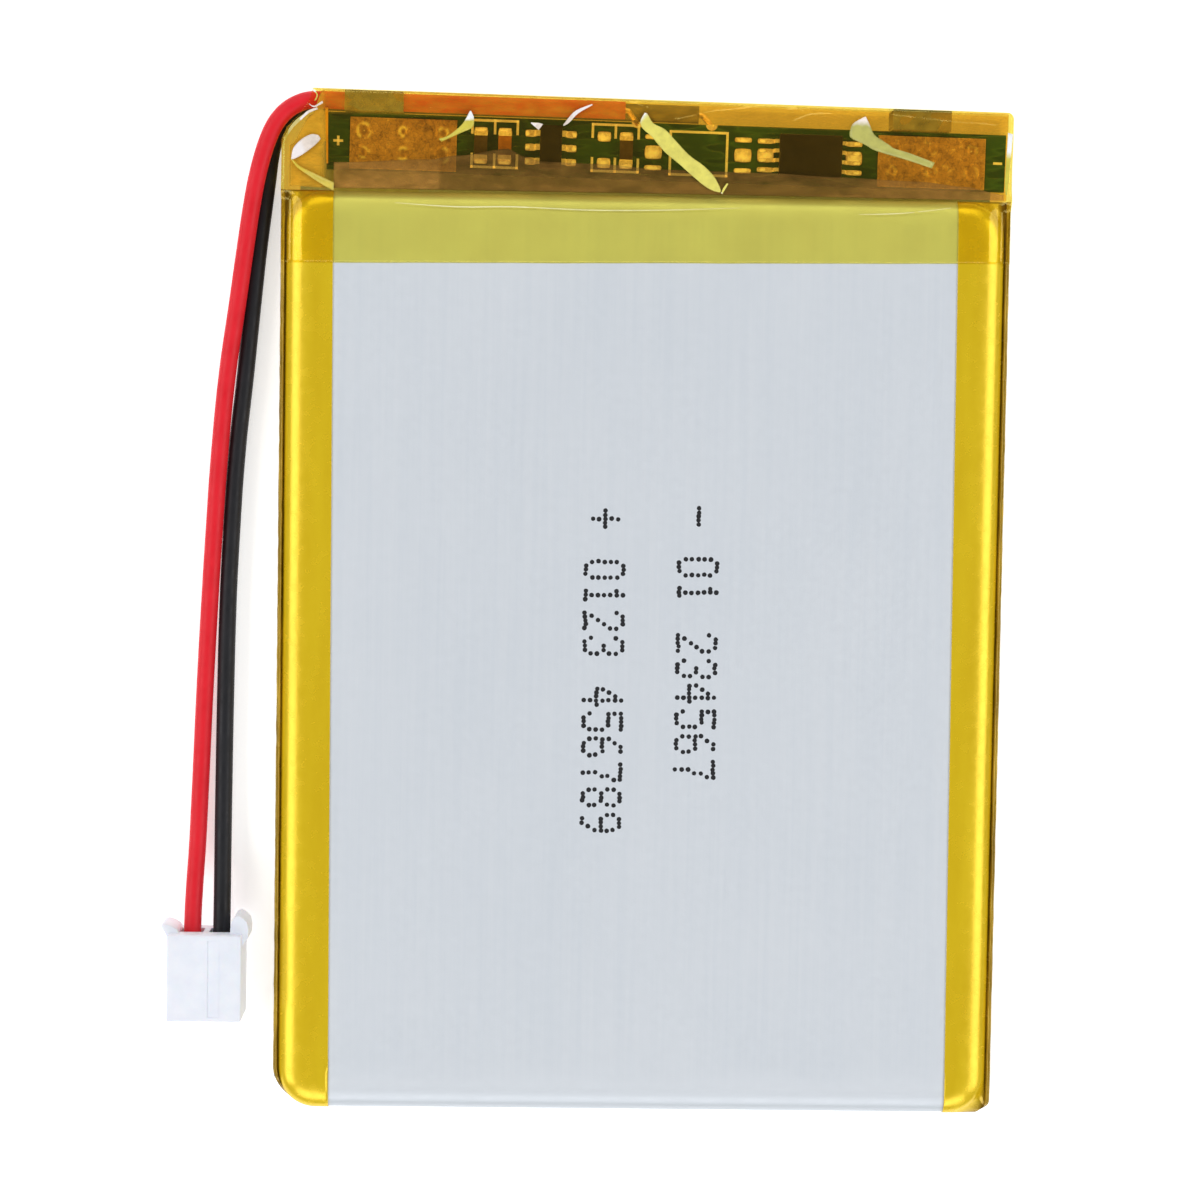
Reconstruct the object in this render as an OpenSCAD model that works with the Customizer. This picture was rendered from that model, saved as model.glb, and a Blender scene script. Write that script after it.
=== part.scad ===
// Flat lithium pouch cell with a protection board, a pair of leads and a two-way plug.
// X runs across the cell, Y along it towards the board end, and Z up from the back face.
// The origin is the centre of the taped body's footprint, on the plane that it rests on.
// The leads and their plug lie on that same plane, beside the cell.

/* [Cell] */
// Width over the folded and taped side seals
cell_w = 50; // [49:0.5:52]
// Length from the rounded end to the taped board end
cell_l = 70.2; // [69.2:0.2:72]
// Height of the pocket's front face above the resting plane
face_z = 2.56; // [2.4:0.02:2.6]
// Thickness of the aluminium laminate film
film_t = 0.11; // [0.08:0.01:0.12]
// Thickness of the polyimide tape
tape_t = 0.06; // [0.04:0.01:0.06]
// Length of the board end beyond the drawn pocket
board_end_l = 6.85; // [6.65:0.05:7]
// Angle at which the board end lies askew across the cell
end_turn = 0.95; // [0:0.05:1]
// Radius of the pocket's corners in plan
corner_r = 2; // [1.4:0.2:2.6]
// Radius of the pocket's shoulder between its walls and its face
shoulder_r = 1; // [0.7:0.1:1.1]

/* [Tapes] */
// Distance from the middle of the cell to the side tapes' inner edges
side_tape_in = 21.5; // [20:0.5:22]
// How far the end tape reaches over the pocket
end_tape_lap = 5.05; // [4:0.05:8]
// Height of the folded side seals
flap_top = 2; // [1.6:0.1:2]

/* [Electrodes] */
// Number of cathode sheets, with one more anode sheet than that
cathodes = 6; // [4:1:8]
// Thickness of the separator film
separator_t = 0.025; // [0.02:0.005:0.03]
// Width of the two metal tabs
tab_w = 4; // [3:0.5:5]
// Distance from the middle of the cell to each tab
tab_x = 18.7; // [18.4:0.1:19]

/* [Board] */
// Length of the protection board
board_l = 46.6; // [46:0.1:46.8]
// Width of the protection board
board_w = 3.9; // [3.8:0.1:3.9]
// Thickness of the protection board
board_t = 0.6; // [0.4:0.1:0.6]
// Sideways shift of the board from the middle of the cell
board_shift = 1.4; // [1.3:0.1:1.4]

/* [Leads and plug] */
// Diameter of the insulated leads
lead_d = 1.2; // [1:0.05:1.2]
// Distance between the plug's two contacts
pitch = 2; // [2:0.1:2.2]
// Width of the plug's housing
plug_w = 5.1; // [5:0.1:5.6]
// Length of the plug's housing
plug_l = 6; // [5.6:0.1:7]
// Thickness of the plug's housing
plug_t = 4.4; // [4.2:0.1:4.6]

/* [Hidden] */
$fn = 48;

// Depth that a cutting solid runs past the face that it cuts
over = 0.5;

half_w = cell_w / 2;
half_l = cell_l / 2;

// Heights of the laminate's layers
back_z = tape_t;
seal_z = back_z + film_t;
cavity_z = face_z - film_t;

// The pocket's wall stands a fold's gap inside the two sheets of the folded seal
fold_gap = 0.1;
flap_x = half_w - tape_t;
wall_x = flap_x - 2 * film_t - fold_gap;
flap_y0 = -half_l + corner_r + 0.1;
pocket_y = half_l - board_end_l;
flap_y1 = pocket_y - 0.3;

// The flat seal at the board end, with its corners cut off
terrace_x = wall_x - 0.8;
terrace_y = pocket_y + 4.8;
terrace_cut = 3;
terrace_plan = [
    [-terrace_x, pocket_y - over], [terrace_x, pocket_y - over],
    [terrace_x, terrace_y - terrace_cut], [terrace_x - terrace_cut, terrace_y],
    [-terrace_x + terrace_cut, terrace_y], [-terrace_x, terrace_y - terrace_cut]
];

// The metal tabs pass through the seal inside strips of sealant
tab_t = 0.08;
sealant_t = 0.04;
sealant_w = 6;
channel_t = tab_t + 2 * sealant_t;
tab_z = seal_z + channel_t / 2;

// The stack of sheets, its layers and its outline
sheets = 2 * cathodes + 1;
stack_z0 = seal_z + 0.05;
stack_z1 = cavity_z - 0.05;
sheet_t = (stack_z1 - stack_z0 - (sheets + 1) * separator_t) / sheets;
layer_pitch = sheet_t + separator_t;
sheet_x = wall_x - 1.62;
sheet_y0 = -half_l + 1.7;
sheet_y1 = pocket_y - 1.9;
separator_x = sheet_x + 0.5;
separator_y0 = sheet_y0 - 0.6;
separator_y1 = sheet_y1 + 0.15;
foil_t = 0.02;
stack_tape_t = 0.04;

// The board's place, above the seal and a foam pad
board_x0 = board_shift - board_l / 2;
board_x1 = board_shift + board_l / 2;
board_y1 = half_l - 1.45;
board_y0 = board_y1 - board_w;
board_z = 0.7;
board_top = board_z + board_t;
copper_t = 0.04;
pad_top = board_top + copper_t;
weld_plate_t = 0.15;
terminal_pad_t = 0.06;
terminal_x = [-16.7, 19.6];
terminal_w = [7.3, 7.4];
via_d = 0.5;
via_rows = [board_y0 + 1.2, board_y0 + 2.7];
notch_x = [-0.7, 4.4];
notch_r = 0.4;

// Chips that stand across the board, by their distance along it
chip_y = board_y0 + 1.95;
resistor_x = [-11.4, -1.43];
capacitor_x = -9.75;
empty_x = -2.95;
chip_l = 1.9;
chip_w = 0.9;
cap_l = 0.3;
chip_pad_y = 0.9;
ic_x = -6.6;
ic_rows = [-0.95, 0, 0.95];
switch_x = 11.2;
switch_rows = [-0.975, -0.325, 0.325, 0.975];

// The leads lie one on the other along the board's outer edge, under the end tape
lead_y = half_l - 0.75;
black_z = 0.77;
red_z = 1.99;
exit_x = -22.4;
red_end_x = -1.6;
black_end_x = 3.5;
loop_y0 = board_y1 + 0.05;
loop_y1 = half_l - 0.1;
loop_top = red_z + lead_d / 2 + 0.05;

// The plug's place, with its wire entries facing the board end
plug_x = -29.6;
plug_y = -22.75;
plug_z = plug_t / 2;
lead_end_y = plug_y - 1.1;

// The free stretches, from the tape's corner to the plug
red_route = [
    [-22.4, 34.35, 1.99], [-23.2, 34.3, 1.99], [-23.95, 34.05, 1.98], [-24.6, 33.65, 1.97],
    [-25.15, 33.1, 1.95], [-25.6, 32.4, 1.93], [-25.98, 31.5, 1.91], [-26.3, 30.5, 1.89],
    [-26.65, 29.1, 1.84], [-27, 27.2, 1.74], [-27.4, 24.5, 1.6], [-27.95, 20.5, 1.42],
    [-28.6, 15.8, 1.28], [-29.1, 10.4, 1.18], [-29.5, 4, 1.1], [-29.72, 0, 1.02],
    [-30.04, -6.5, 0.82], [-30.3, -13, 0.68], [-30.45, -17.2, 0.98], [-30.55, -19.8, 1.6],
    [-30.6, -22, 2.08], [-30.6, -23.85, 2.2]
];
black_route = [
    [-22.4, 34.35, 0.77], [-23.15, 34.28, 0.76], [-23.85, 34.02, 0.75], [-24.45, 33.6, 0.73],
    [-24.95, 33.05, 0.71], [-25.35, 32.35, 0.69], [-25.65, 31.5, 0.67], [-25.85, 30.5, 0.65],
    [-26.02, 29.1, 0.63], [-26.25, 27.2, 0.62], [-26.58, 24.5, 0.62], [-26.98, 20.5, 0.62],
    [-27.42, 15.8, 0.62], [-27.96, 10.4, 0.62], [-28.34, 4, 0.62], [-28.5, 0, 0.62],
    [-28.62, -6.5, 0.62], [-28.68, -13, 0.68], [-28.68, -17.2, 0.98], [-28.63, -19.8, 1.6],
    [-28.6, -22, 2.08], [-28.6, -23.85, 2.2]
];

function unit(v) = v / norm(v);
function left_of(v) = [-v.y, v.x];

// Direction of a polyline's segment after point i, held at its ends
function heading(path, i) =
    let (k = min(max(i, 0), len(path) - 2)) unit(path[k + 1] - path[k]);

// Points at a distance d to the left of a flat path, mitred at its bends
function beside(path, d) = [
    for (i = [0 : len(path) - 1])
        let (a = left_of(heading(path, i - 1)), b = left_of(heading(path, i)))
            path[i] + d * (a + b) / (1 + a * b)
];

function reversed(path) = [for (i = [len(path) - 1 : -1 : 0]) path[i]];

// Closed outline of a strip of thickness t that follows a flat path
function strip(path, t) = concat(beside(path, t / 2), reversed(beside(path, -t / 2)));

function arc(centre, r, from, to, steps) = [
    for (i = [0 : steps])
        let (a = from + (to - from) * i / steps) centre + r * [cos(a), sin(a)]
];

// Draws a profile of (x, z) points along Y, or of (y, z) points along X
module along_y(y0, y1) {
    translate([0, y1, 0]) rotate([90, 0, 0]) linear_extrude(y1 - y0) children();
}

module along_x(x0, x1) {
    translate([x0, 0, 0]) rotate([90, 0, 90]) linear_extrude(x1 - x0) children();
}

module box(low, high) {
    translate(low) cube(high - low);
}

// Turns its children with the board end, about the point where the leads come out
module at_board_end() {
    translate([exit_x, lead_y, 0]) rotate([0, 0, -end_turn]) translate([-exit_x, -lead_y, 0])
        children();
}

module both_sides() {
    children();
    mirror([1, 0, 0]) children();
}

// A round tube along a route, with an eight-sided ring at each point
module tube(route, d, first_way, last_way) {
    sides = 8;
    last = len(route) - 1;
    function way(i) =
        i == 0 ? first_way :
        i == last ? last_way :
        unit(heading(route, i - 1) + heading(route, i));
    points = [
        for (i = [0 : last])
            let (side = unit(cross(way(i), [0, 0, 1])), up = cross(side, way(i)))
                for (k = [0 : sides - 1])
                    route[i] + d / 2 * (cos(360 * k / sides) * side + sin(360 * k / sides) * up)
    ];
    walls = [
        for (i = [0 : last - 1], k = [0 : sides - 1])
            let (n = (k + 1) % sides, a = i * sides, b = a + sides)
                each [[a + k, b + k, b + n], [a + k, b + n, a + n]]
    ];
    start_face = [for (k = [0 : sides - 1]) k];
    end_face = [for (k = [sides - 1 : -1 : 0]) last * sides + k];
    polyhedron(points, concat(walls, [start_face, end_face]), convexity = 6);
}

// ---- pouch ----

// One corner of the drawn pocket: a post with a rounded shoulder
module pocket_corner(x, y, r, shoulder, top) {
    translate([x, y, seal_z]) {
        cylinder(h = top - seal_z - shoulder, r = r, $fn = 32);
        cylinder(h = top - seal_z, r = r - shoulder, $fn = 32);
        translate([0, 0, top - seal_z - shoulder])
            rotate_extrude($fn = 32)
                intersection() {
                    translate([r - shoulder, 0]) circle(shoulder, $fn = 32);
                    square([r, shoulder]);
                }
    }
}

// The pocket's outside, or its inside when it is inset by the film
module pocket(inset) {
    r = corner_r - inset;
    x = wall_x - corner_r;
    hull()
        for (sx = [-1, 1], y = [-half_l + corner_r, pocket_y - corner_r])
            pocket_corner(sx * x, y, r, shoulder_r - inset, face_z - inset);
}

// Plan of a sheet whose two corners at the plain end are rounded
module end_rounded_plan(x, y0, y1, r) {
    translate([-x, y0 + r]) square([2 * x, y1 - y0 - r]);
    translate([-x + r, y0]) square([2 * x - 2 * r, 2 * r]);
    for (s = [-1, 1]) translate([s * (x - r), y0 + r]) circle(r);
}

module tab_channels(grow, z1) {
    for (s = [-1, 1])
        box([s * tab_x - sealant_w / 2 - grow, pocket_y - over, seal_z],
            [s * tab_x + sealant_w / 2 + grow, terrace_y, z1]);
}

module pouch_front_shell() color([0.8, 0.83, 0.86]) {
    flange_x = flap_x - film_t;
    difference() {
        union() {
            pocket(0);
            translate([0, 0, seal_z]) linear_extrude(film_t) polygon(terrace_plan);
            tab_channels(film_t, seal_z + channel_t + film_t);
            both_sides()
                along_y(flap_y0, flap_y1) {
                    translate([wall_x - over, seal_z]) square([flange_x - wall_x + over, film_t]);
                    translate([flange_x - film_t, seal_z]) square([film_t, flap_top - seal_z]);
                }
        }
        pocket(film_t);
        tab_channels(0, seal_z + channel_t);
        for (s = [-1, 1])
            box([s * tab_x - sealant_w / 2, terrace_y - over, seal_z - over],
                [s * tab_x + sealant_w / 2, terrace_y + over, seal_z + channel_t]);
    }
}

module pouch_back_cover() color([0.76, 0.79, 0.82]) {
    translate([0, 0, back_z]) linear_extrude(film_t) {
        end_rounded_plan(wall_x, -half_l, pocket_y, corner_r);
        polygon(terrace_plan);
    }
    both_sides()
        along_y(flap_y0, flap_y1) {
            translate([wall_x - over, back_z]) square([flap_x - wall_x + over, film_t]);
            translate([flap_x - film_t, back_z]) square([film_t, flap_top - back_z]);
        }
}

// ---- electrode stack ----

function sheet_z(i) = stack_z0 + separator_t + i * layer_pitch;

// Sheet i of the stack, with a bare foil tail that comes down to its tab
module electrode(i, tail_x, order) {
    middle = sheet_z(i) + sheet_t / 2;
    gathered = tab_z + tab_t / 2 + (order + 0.5) * foil_t;
    box([-sheet_x, sheet_y0, sheet_z(i)], [sheet_x, sheet_y1, sheet_z(i) + sheet_t]);
    along_x(tail_x - tab_w / 2, tail_x + tab_w / 2)
        polygon(strip([
            [sheet_y1 - over, middle], [sheet_y1 + 0.2, middle],
            [sheet_y1 + 1, gathered], [sheet_y1 + 1.6, gathered]
        ], foil_t));
}

module cathode_sheets() color([0.2, 0.2, 0.22]) {
    for (k = [0 : cathodes - 1]) electrode(2 * k + 1, -tab_x, k);
}

module anode_sheets() color([0.45, 0.3, 0.2]) {
    for (k = [0 : cathodes]) electrode(2 * k, tab_x, k);
}

// One film folded to and fro between all the sheets
module separator() color([0.94, 0.94, 0.92]) {
    along_y(separator_y0, separator_y1) {
        for (i = [0 : sheets])
            translate([-separator_x, stack_z0 + i * layer_pitch])
                square([2 * separator_x, separator_t]);
        for (i = [0 : sheets - 1])
            translate([i % 2 == 0 ? separator_x - separator_t : -separator_x,
                       stack_z0 + i * layer_pitch])
                square([separator_t, layer_pitch + separator_t]);
    }
}

// A clip of tape around the stack's edge, as a profile that opens towards the middle
module stack_clip(reach, edge) {
    polygon(strip([
        [edge - reach, stack_z0 - stack_tape_t / 2], [edge + stack_tape_t / 2, stack_z0 - stack_tape_t / 2],
        [edge + stack_tape_t / 2, stack_z1 + stack_tape_t / 2], [edge - reach, stack_z1 + stack_tape_t / 2]
    ], stack_tape_t));
}

module stack_tapes() color([0.3, 0.75, 0.45]) {
    clip_w = 8;
    both_sides() {
        along_y(-clip_w / 2, clip_w / 2) stack_clip(5, separator_x);
        translate([8, 0, 0])
            mirror([0, 1, 0]) along_x(0, clip_w) stack_clip(5, -separator_y0);
    }
}

// Leaves the seal, loops round both leads and comes back under the board
module tab(x) {
    under_z = tape_t + 0.06;
    bend_y = terrace_y + 0.15;
    turned_y = bend_y + (x + tab_w / 2 - exit_x) * sin(end_turn);
    box([x - tab_w / 2, sheet_y1 + 0.8, tab_z - tab_t / 2], [x + tab_w / 2, bend_y, tab_z + tab_t / 2]);
    at_board_end()
        along_x(x - tab_w / 2, x + tab_w / 2)
            polygon(strip([
                [turned_y - 0.1, tab_z], [turned_y, tab_z], [turned_y + 0.2, under_z],
                [loop_y1, under_z], [loop_y1, loop_top], [loop_y0, loop_top],
                [loop_y0, board_z - weld_plate_t - tab_t / 2],
                [board_y0 + 1.4, board_z - weld_plate_t - tab_t / 2]
            ], tab_t));
}

module positive_tab() color([0.85, 0.86, 0.88]) tab(-tab_x);

module negative_tab() color([0.72, 0.7, 0.66]) tab(tab_x);

module tab_sealant(x) {
    difference() {
        box([x - sealant_w / 2, pocket_y - 0.25, seal_z],
            [x + sealant_w / 2, terrace_y, seal_z + channel_t]);
        box([x - tab_w / 2, pocket_y - over, tab_z - tab_t / 2],
            [x + tab_w / 2, terrace_y + over, tab_z + tab_t / 2]);
    }
}

module positive_tab_sealant() color([0.9, 0.9, 0.85]) tab_sealant(-tab_x);

module negative_tab_sealant() color([0.9, 0.9, 0.85]) tab_sealant(tab_x);

// ---- protection board ----

// Places its children at each solder-filled hole of the two terminal pads
module at_vias() {
    columns = 3;
    for (side = [0, 1], c = [0 : columns - 1], y = via_rows)
        translate([terminal_x[side] + (c - 1) * terminal_w[side] * 0.37, y, 0]) children();
}

module circuit_board() color([0.05, 0.3, 0.15]) {
    difference() {
        box([board_x0, board_y0, board_z], [board_x1, board_y1, board_top]);
        at_vias() translate([0, 0, board_z - over]) cylinder(h = board_t + 2 * over, d = via_d);
        for (x = notch_x)
            translate([x, board_y1, board_z - over]) cylinder(h = board_t + 2 * over, r = notch_r);
    }
}

module terminal_pads() color([0.75, 0.55, 0.3]) {
    difference() {
        for (side = [0, 1])
            box([terminal_x[side] - terminal_w[side] / 2, board_y0 + 0.1, board_top],
                [terminal_x[side] + terminal_w[side] / 2, board_y1 - 0.3, board_top + terminal_pad_t]);
        at_vias() translate([0, 0, board_top - over]) cylinder(h = 2 * over, d = via_d);
    }
}

module via_plugs() color([0.8, 0.78, 0.72]) {
    at_vias() translate([0, 0, board_z]) cylinder(h = board_t + terminal_pad_t / 2, d = via_d);
}

module weld_plate(side) {
    box([terminal_x[side] - terminal_w[side] / 2, board_y0 + 0.2, board_z - weld_plate_t],
        [terminal_x[side] + terminal_w[side] / 2, board_y1 - 0.2, board_z]);
}

module positive_weld_plate() color([0.7, 0.68, 0.62]) weld_plate(0);

module negative_weld_plate() color([0.7, 0.68, 0.62]) weld_plate(1);

// A copper pad centred at (x, y) on the board's top
module pad(x, y, w, l) {
    translate([x - w / 2, y - l / 2, board_top]) cube([w, l, copper_t]);
}

module solder_pads() color([0.85, 0.6, 0.2]) {
    for (x = concat(resistor_x, [capacitor_x, empty_x]), s = [-1, 1])
        pad(x, chip_y + s * chip_pad_y, 0.95, 0.7);
    for (s = [-1, 1], row = ic_rows)
        pad(ic_x + s * 1.4, chip_y + row, 0.75, 0.5);
    for (x = [0.44, 6.6]) {
        pad(x, chip_y + 1, 1.2, 0.35);
        pad(x, chip_y - 0.05, 1.2, 0.95);
        pad(x, chip_y - 1.1, 1.2, 0.35);
    }
    for (s = [-1, 1]) {
        for (row = [switch_rows[0], switch_rows[3]])
            pad(switch_x + s * 3.05, chip_y + row, 1.15, 0.36);
        pad(switch_x + s * 3.05, chip_y, 1.15, 0.95);
    }
}

// A moulded package whose top edges are bevelled
module package(x, w, l, h) {
    stand_off = 0.08;
    bevel = 0.12;
    translate([x - w / 2, chip_y - l / 2, board_top + stand_off])
        difference() {
            cube([w, l, h]);
            for (s = [0, 1])
                translate([s * w, -over, h]) rotate([0, 45, 0])
                    translate([-bevel / 2, 0, -bevel / 2]) cube([bevel, l + 2 * over, bevel]);
        }
}

// Bent leads on both sides of a package, one at each row
module gull_leads(x, body_w, rows, lead_w, foot) {
    lead_t = 0.12;
    foot_z = pad_top + lead_t / 2;
    for (s = [0, 1], row = rows)
        translate([x, chip_y + row, 0]) mirror([s, 0, 0])
            along_y(-lead_w / 2, lead_w / 2)
                polygon(strip([
                    [body_w / 2, foot_z + 0.42], [body_w / 2 + 0.22, foot_z + 0.42],
                    [body_w / 2 + 0.34, foot_z], [body_w / 2 + 0.34 + foot, foot_z]
                ], lead_t));
}

module protection_ic() color([0.12, 0.1, 0.1]) package(ic_x, 1.5, 2.9, 0.95);

module protection_ic_leads() color([0.8, 0.8, 0.78]) gull_leads(ic_x, 1.5, ic_rows, 0.4, 0.35);

module power_switch() color([0.12, 0.1, 0.1]) package(switch_x, 4.3, 2.9, 0.9);

module power_switch_leads() color([0.8, 0.8, 0.78])
    gull_leads(switch_x, 4.3, switch_rows, 0.25, 0.5);

// The middle of a chip between its two end caps
module chip_body(x, h) {
    half = chip_l / 2 - cap_l;
    box([x - chip_w / 2, chip_y - half, pad_top], [x + chip_w / 2, chip_y + half, pad_top + h]);
}

module chip_resistors() color([0.1, 0.1, 0.1]) for (x = resistor_x) chip_body(x, 0.42);

module chip_capacitor() color([0.6, 0.4, 0.25]) chip_body(capacitor_x, 0.7);

module end_caps(x, h) {
    for (s = [-1, 1])
        translate([x, chip_y + s * (chip_l - cap_l) / 2, pad_top + h / 2])
            cube([chip_w, cap_l, h], center = true);
}

module chip_end_caps() color([0.85, 0.85, 0.83]) {
    for (x = resistor_x) end_caps(x, 0.45);
    end_caps(capacitor_x, 0.74);
}

// A wedge of solder that runs out from a face at (x, y), away from the chip
module fillet(x, y, turn, w, l, h) {
    translate([x, y, pad_top]) rotate([0, 0, turn])
        along_y(-w / 2, w / 2) polygon([[0, 0], [l, 0], [l / 3, h / 3], [0, h]]);
}

module solder_fillets() color([0.85, 0.83, 0.78]) {
    for (x = concat(resistor_x, [capacitor_x]), s = [-1, 1])
        fillet(x, chip_y + s * chip_l / 2, s * 90, 0.86, 0.28, 0.32);
    for (s = [-1, 1]) {
        for (row = ic_rows)
            fillet(ic_x + s * 1.44, chip_y + row, s > 0 ? 0 : 180, 0.4, 0.3, 0.12);
        for (row = switch_rows)
            fillet(switch_x + s * 2.99, chip_y + row, s > 0 ? 0 : 180, 0.25, 0.5, 0.12);
    }
}

// Solder that fills each half-round notch and stands a little above it
module wire_solder_joints() color([0.8, 0.78, 0.72]) {
    for (x = notch_x)
        intersection() {
            box([x - 1, board_y1 - 1, 0], [x + 1, board_y1, 3]);
            translate([x, board_y1, board_z]) union() {
                cylinder(h = board_t, r = notch_r);
                translate([0, 0, board_t]) scale(0.6) sphere(notch_r);
            }
        }
}

// Bare strands that turn from the leads' cut ends into the notches
module bare_wire_ends() color([0.82, 0.6, 0.4]) {
    strand_d = 0.4;
    low_z = board_z + 0.35;
    tube([
        [red_end_x, lead_y, red_z], [-1.35, lead_y - 0.05, red_z - 0.02],
        [-1, board_y1 + 0.2, 1.75], [-0.75, board_y1, 1.4], [-0.7, board_y1 - 0.2, low_z]
    ], strand_d, [1, 0, 0], unit([0, -0.3, -1]));
    tube([
        [black_end_x, lead_y, black_z], [3.75, lead_y - 0.05, black_z + 0.02],
        [4.15, board_y1 + 0.25, 0.9], [4.4, board_y1 - 0.2, low_z]
    ], strand_d, [1, 0, 0], unit([0, -1, 0.2]));
}

module board_foam_pad() color([0.25, 0.25, 0.26]) {
    gap = 0.5;
    box([terminal_x[0] + terminal_w[0] / 2 + gap, board_y0 + 0.2, seal_z + film_t],
        [terminal_x[1] - terminal_w[1] / 2 - gap, terrace_y - 0.1, board_z]);
}

// ---- tapes ----

// Path of a side tape over the folded seal's top, the shoulder and the front face
glue_t = 0.01;
front_r = shoulder_r + glue_t + tape_t / 2;
side_tape_front = concat(
    [[half_w - tape_t / 2, flap_top + tape_t / 2]],
    arc([wall_x - shoulder_r, face_z - shoulder_r], front_r, 30, 90, 6),
    [[side_tape_in, face_z - shoulder_r + front_r]]
);

module side_tape() {
    joint_y = pocket_y - end_tape_lap;
    intersection() {
        union() {
            along_y(-half_l, joint_y)
                polygon(strip(concat([[side_tape_in, tape_t / 2], [half_w - tape_t / 2, tape_t / 2]],
                                     side_tape_front), tape_t));
            along_y(joint_y, pocket_y)
                polygon(strip(concat([[half_w - tape_t / 2, tape_t]], side_tape_front), tape_t));
        }
        linear_extrude(face_z + 1) end_rounded_plan(half_w, -half_l, half_l, corner_r + 0.4);
    }
}

module side_tape_left() color([0.95, 0.8, 0.1]) mirror([1, 0, 0]) side_tape();

module side_tape_right() color([0.95, 0.8, 0.1]) side_tape();

// The end tape's plan, with a corner cut away where the leads come out
corner_low = [-half_w, half_l - 4.9];
corner_high = [exit_x, half_l - 1.5];
end_tape_plan = [
    corner_low, [-half_w, pocket_y - end_tape_lap], [half_w, pocket_y - end_tape_lap],
    [half_w, half_l], [exit_x, half_l], corner_high
];

// A sleeve round the board end: over the face, the board and the leads, and under the back
module end_tape() color([0.85, 0.6, 0.1, 0.6]) {
    lap_y = pocket_y - end_tape_lap;
    face_mid = face_z + glue_t + 1.5 * tape_t;
    top_mid = loop_top + tab_t / 2 + tape_t / 2;
    end_mid = half_l - tape_t / 2;
    flat_x = wall_x - shoulder_r;
    corner_way = unit(corner_high - corner_low);
    difference() {
        intersection() {
            union() {
                for (z = [face_mid, tape_t / 2])
                    box([-half_w, lap_y, z - tape_t / 2], [half_w, pocket_y + 0.3, z + tape_t / 2]);
                at_board_end()
                    along_x(-half_w - 1, half_w + 1)
                        polygon(strip([
                            [pocket_y + 0.2, face_mid], [pocket_y + 1.2, face_mid],
                            [board_y1, top_mid], [end_mid, top_mid], [end_mid, tape_t / 2],
                            [pocket_y + 0.2, tape_t / 2]
                        ], tape_t));
            }
            linear_extrude(face_z + 1) polygon(end_tape_plan);
        }
        for (s = [-1, 1])
            translate([s > 0 ? flat_x : -flat_x - 10, lap_y - over, face_z - 1])
                cube([10, pocket_y - lap_y + over, 2]);
    }
    box([half_w - tape_t, pocket_y + 0.05, 0],
        [half_w, half_l - (half_w - exit_x) * sin(end_turn), face_mid]);
    box([-half_w, pocket_y + 0.05, 0], [-half_w + tape_t, corner_low.y, face_mid]);
    linear_extrude(face_mid)
        polygon([corner_low, corner_low - tape_t * left_of(corner_way),
                 corner_high - tape_t * left_of(corner_way), corner_high]);
}

// ---- leads and plug ----

module taped_lead(x1, z) {
    translate([exit_x, lead_y, z]) rotate([0, 90, 0]) cylinder(h = x1 - exit_x, d = lead_d);
}

module red_lead_taped() color([0.95, 0.2, 0.25]) taped_lead(red_end_x, red_z);

module black_lead_taped() color([0.12, 0.12, 0.13]) taped_lead(black_end_x, black_z);

exit_way = [-cos(end_turn), sin(end_turn), 0];

module red_lead() color([0.95, 0.2, 0.25]) tube(red_route, lead_d, exit_way, [0, -1, 0]);

module black_lead() color([0.12, 0.12, 0.13]) tube(black_route, lead_d, exit_way, [0, -1, 0]);

module at_contacts() {
    for (s = [-1, 1]) translate([plug_x + s * pitch / 2, 0, plug_z]) children();
}

// A sprung square socket with a neck that is crimped to the wire
module crimp_terminals() color([0.85, 0.8, 0.6]) {
    socket = 1.4;
    bore = 0.9;
    mouth_y = plug_y - plug_l + 0.4;
    back_y = mouth_y + 2.8;
    at_contacts() {
        difference() {
            box([-socket / 2, mouth_y, -socket / 2], [socket / 2, back_y, socket / 2]);
            box([-bore / 2, mouth_y - over, -bore / 2], [bore / 2, back_y - 0.3, bore / 2]);
        }
        box([-0.4, back_y, -0.35], [0.4, lead_end_y, 0.35]);
    }
}

// Side profile of the grip at each rear corner, as steps from the middle of the rear face
left_grip = [
    [-2.55, -1.1], [-1.75, -1.1], [-1.75, 0.05], [-2.35, 0.5], [-2.9, 0.65], [-3.05, 0.45]
];
right_grip = [
    [1.75, -1.1], [2.55, -1.1], [2.95, -0.6], [3, 0.55], [2.75, 1.1], [2.3, 1.35],
    [1.9, 1.1], [1.75, 0.5]
];

module connector_housing() color([0.95, 0.96, 0.98]) {
    cavity = 1.6;
    groove_x = [0.25, 1.1];
    groove_t = 0.2;
    bevel = 0.3;
    difference() {
        union() {
            box([plug_x - plug_w / 2, plug_y - plug_l, 0], [plug_x + plug_w / 2, plug_y, plug_t]);
            for (grip = [left_grip, right_grip])
                translate([plug_x, plug_y, 0.7]) linear_extrude(plug_t - 1.4) polygon(grip);
        }
        at_contacts()
            box([-cavity / 2, -plug_l + plug_y - over, -cavity / 2],
                [cavity / 2, plug_y + over, cavity / 2]);
        box([plug_x + groove_x[0], plug_y - plug_l + 0.3, plug_t - groove_t],
            [plug_x + groove_x[1], plug_y - 0.4, plug_t + over]);
        for (s = [-1, 1])
            translate([plug_x + s * plug_w / 2, plug_y - plug_l - over, plug_t])
                rotate([0, 45, 0])
                    translate([-bevel / 2, 0, -bevel / 2]) cube([bevel, plug_l - 0.9, bevel]);
    }
}

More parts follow.
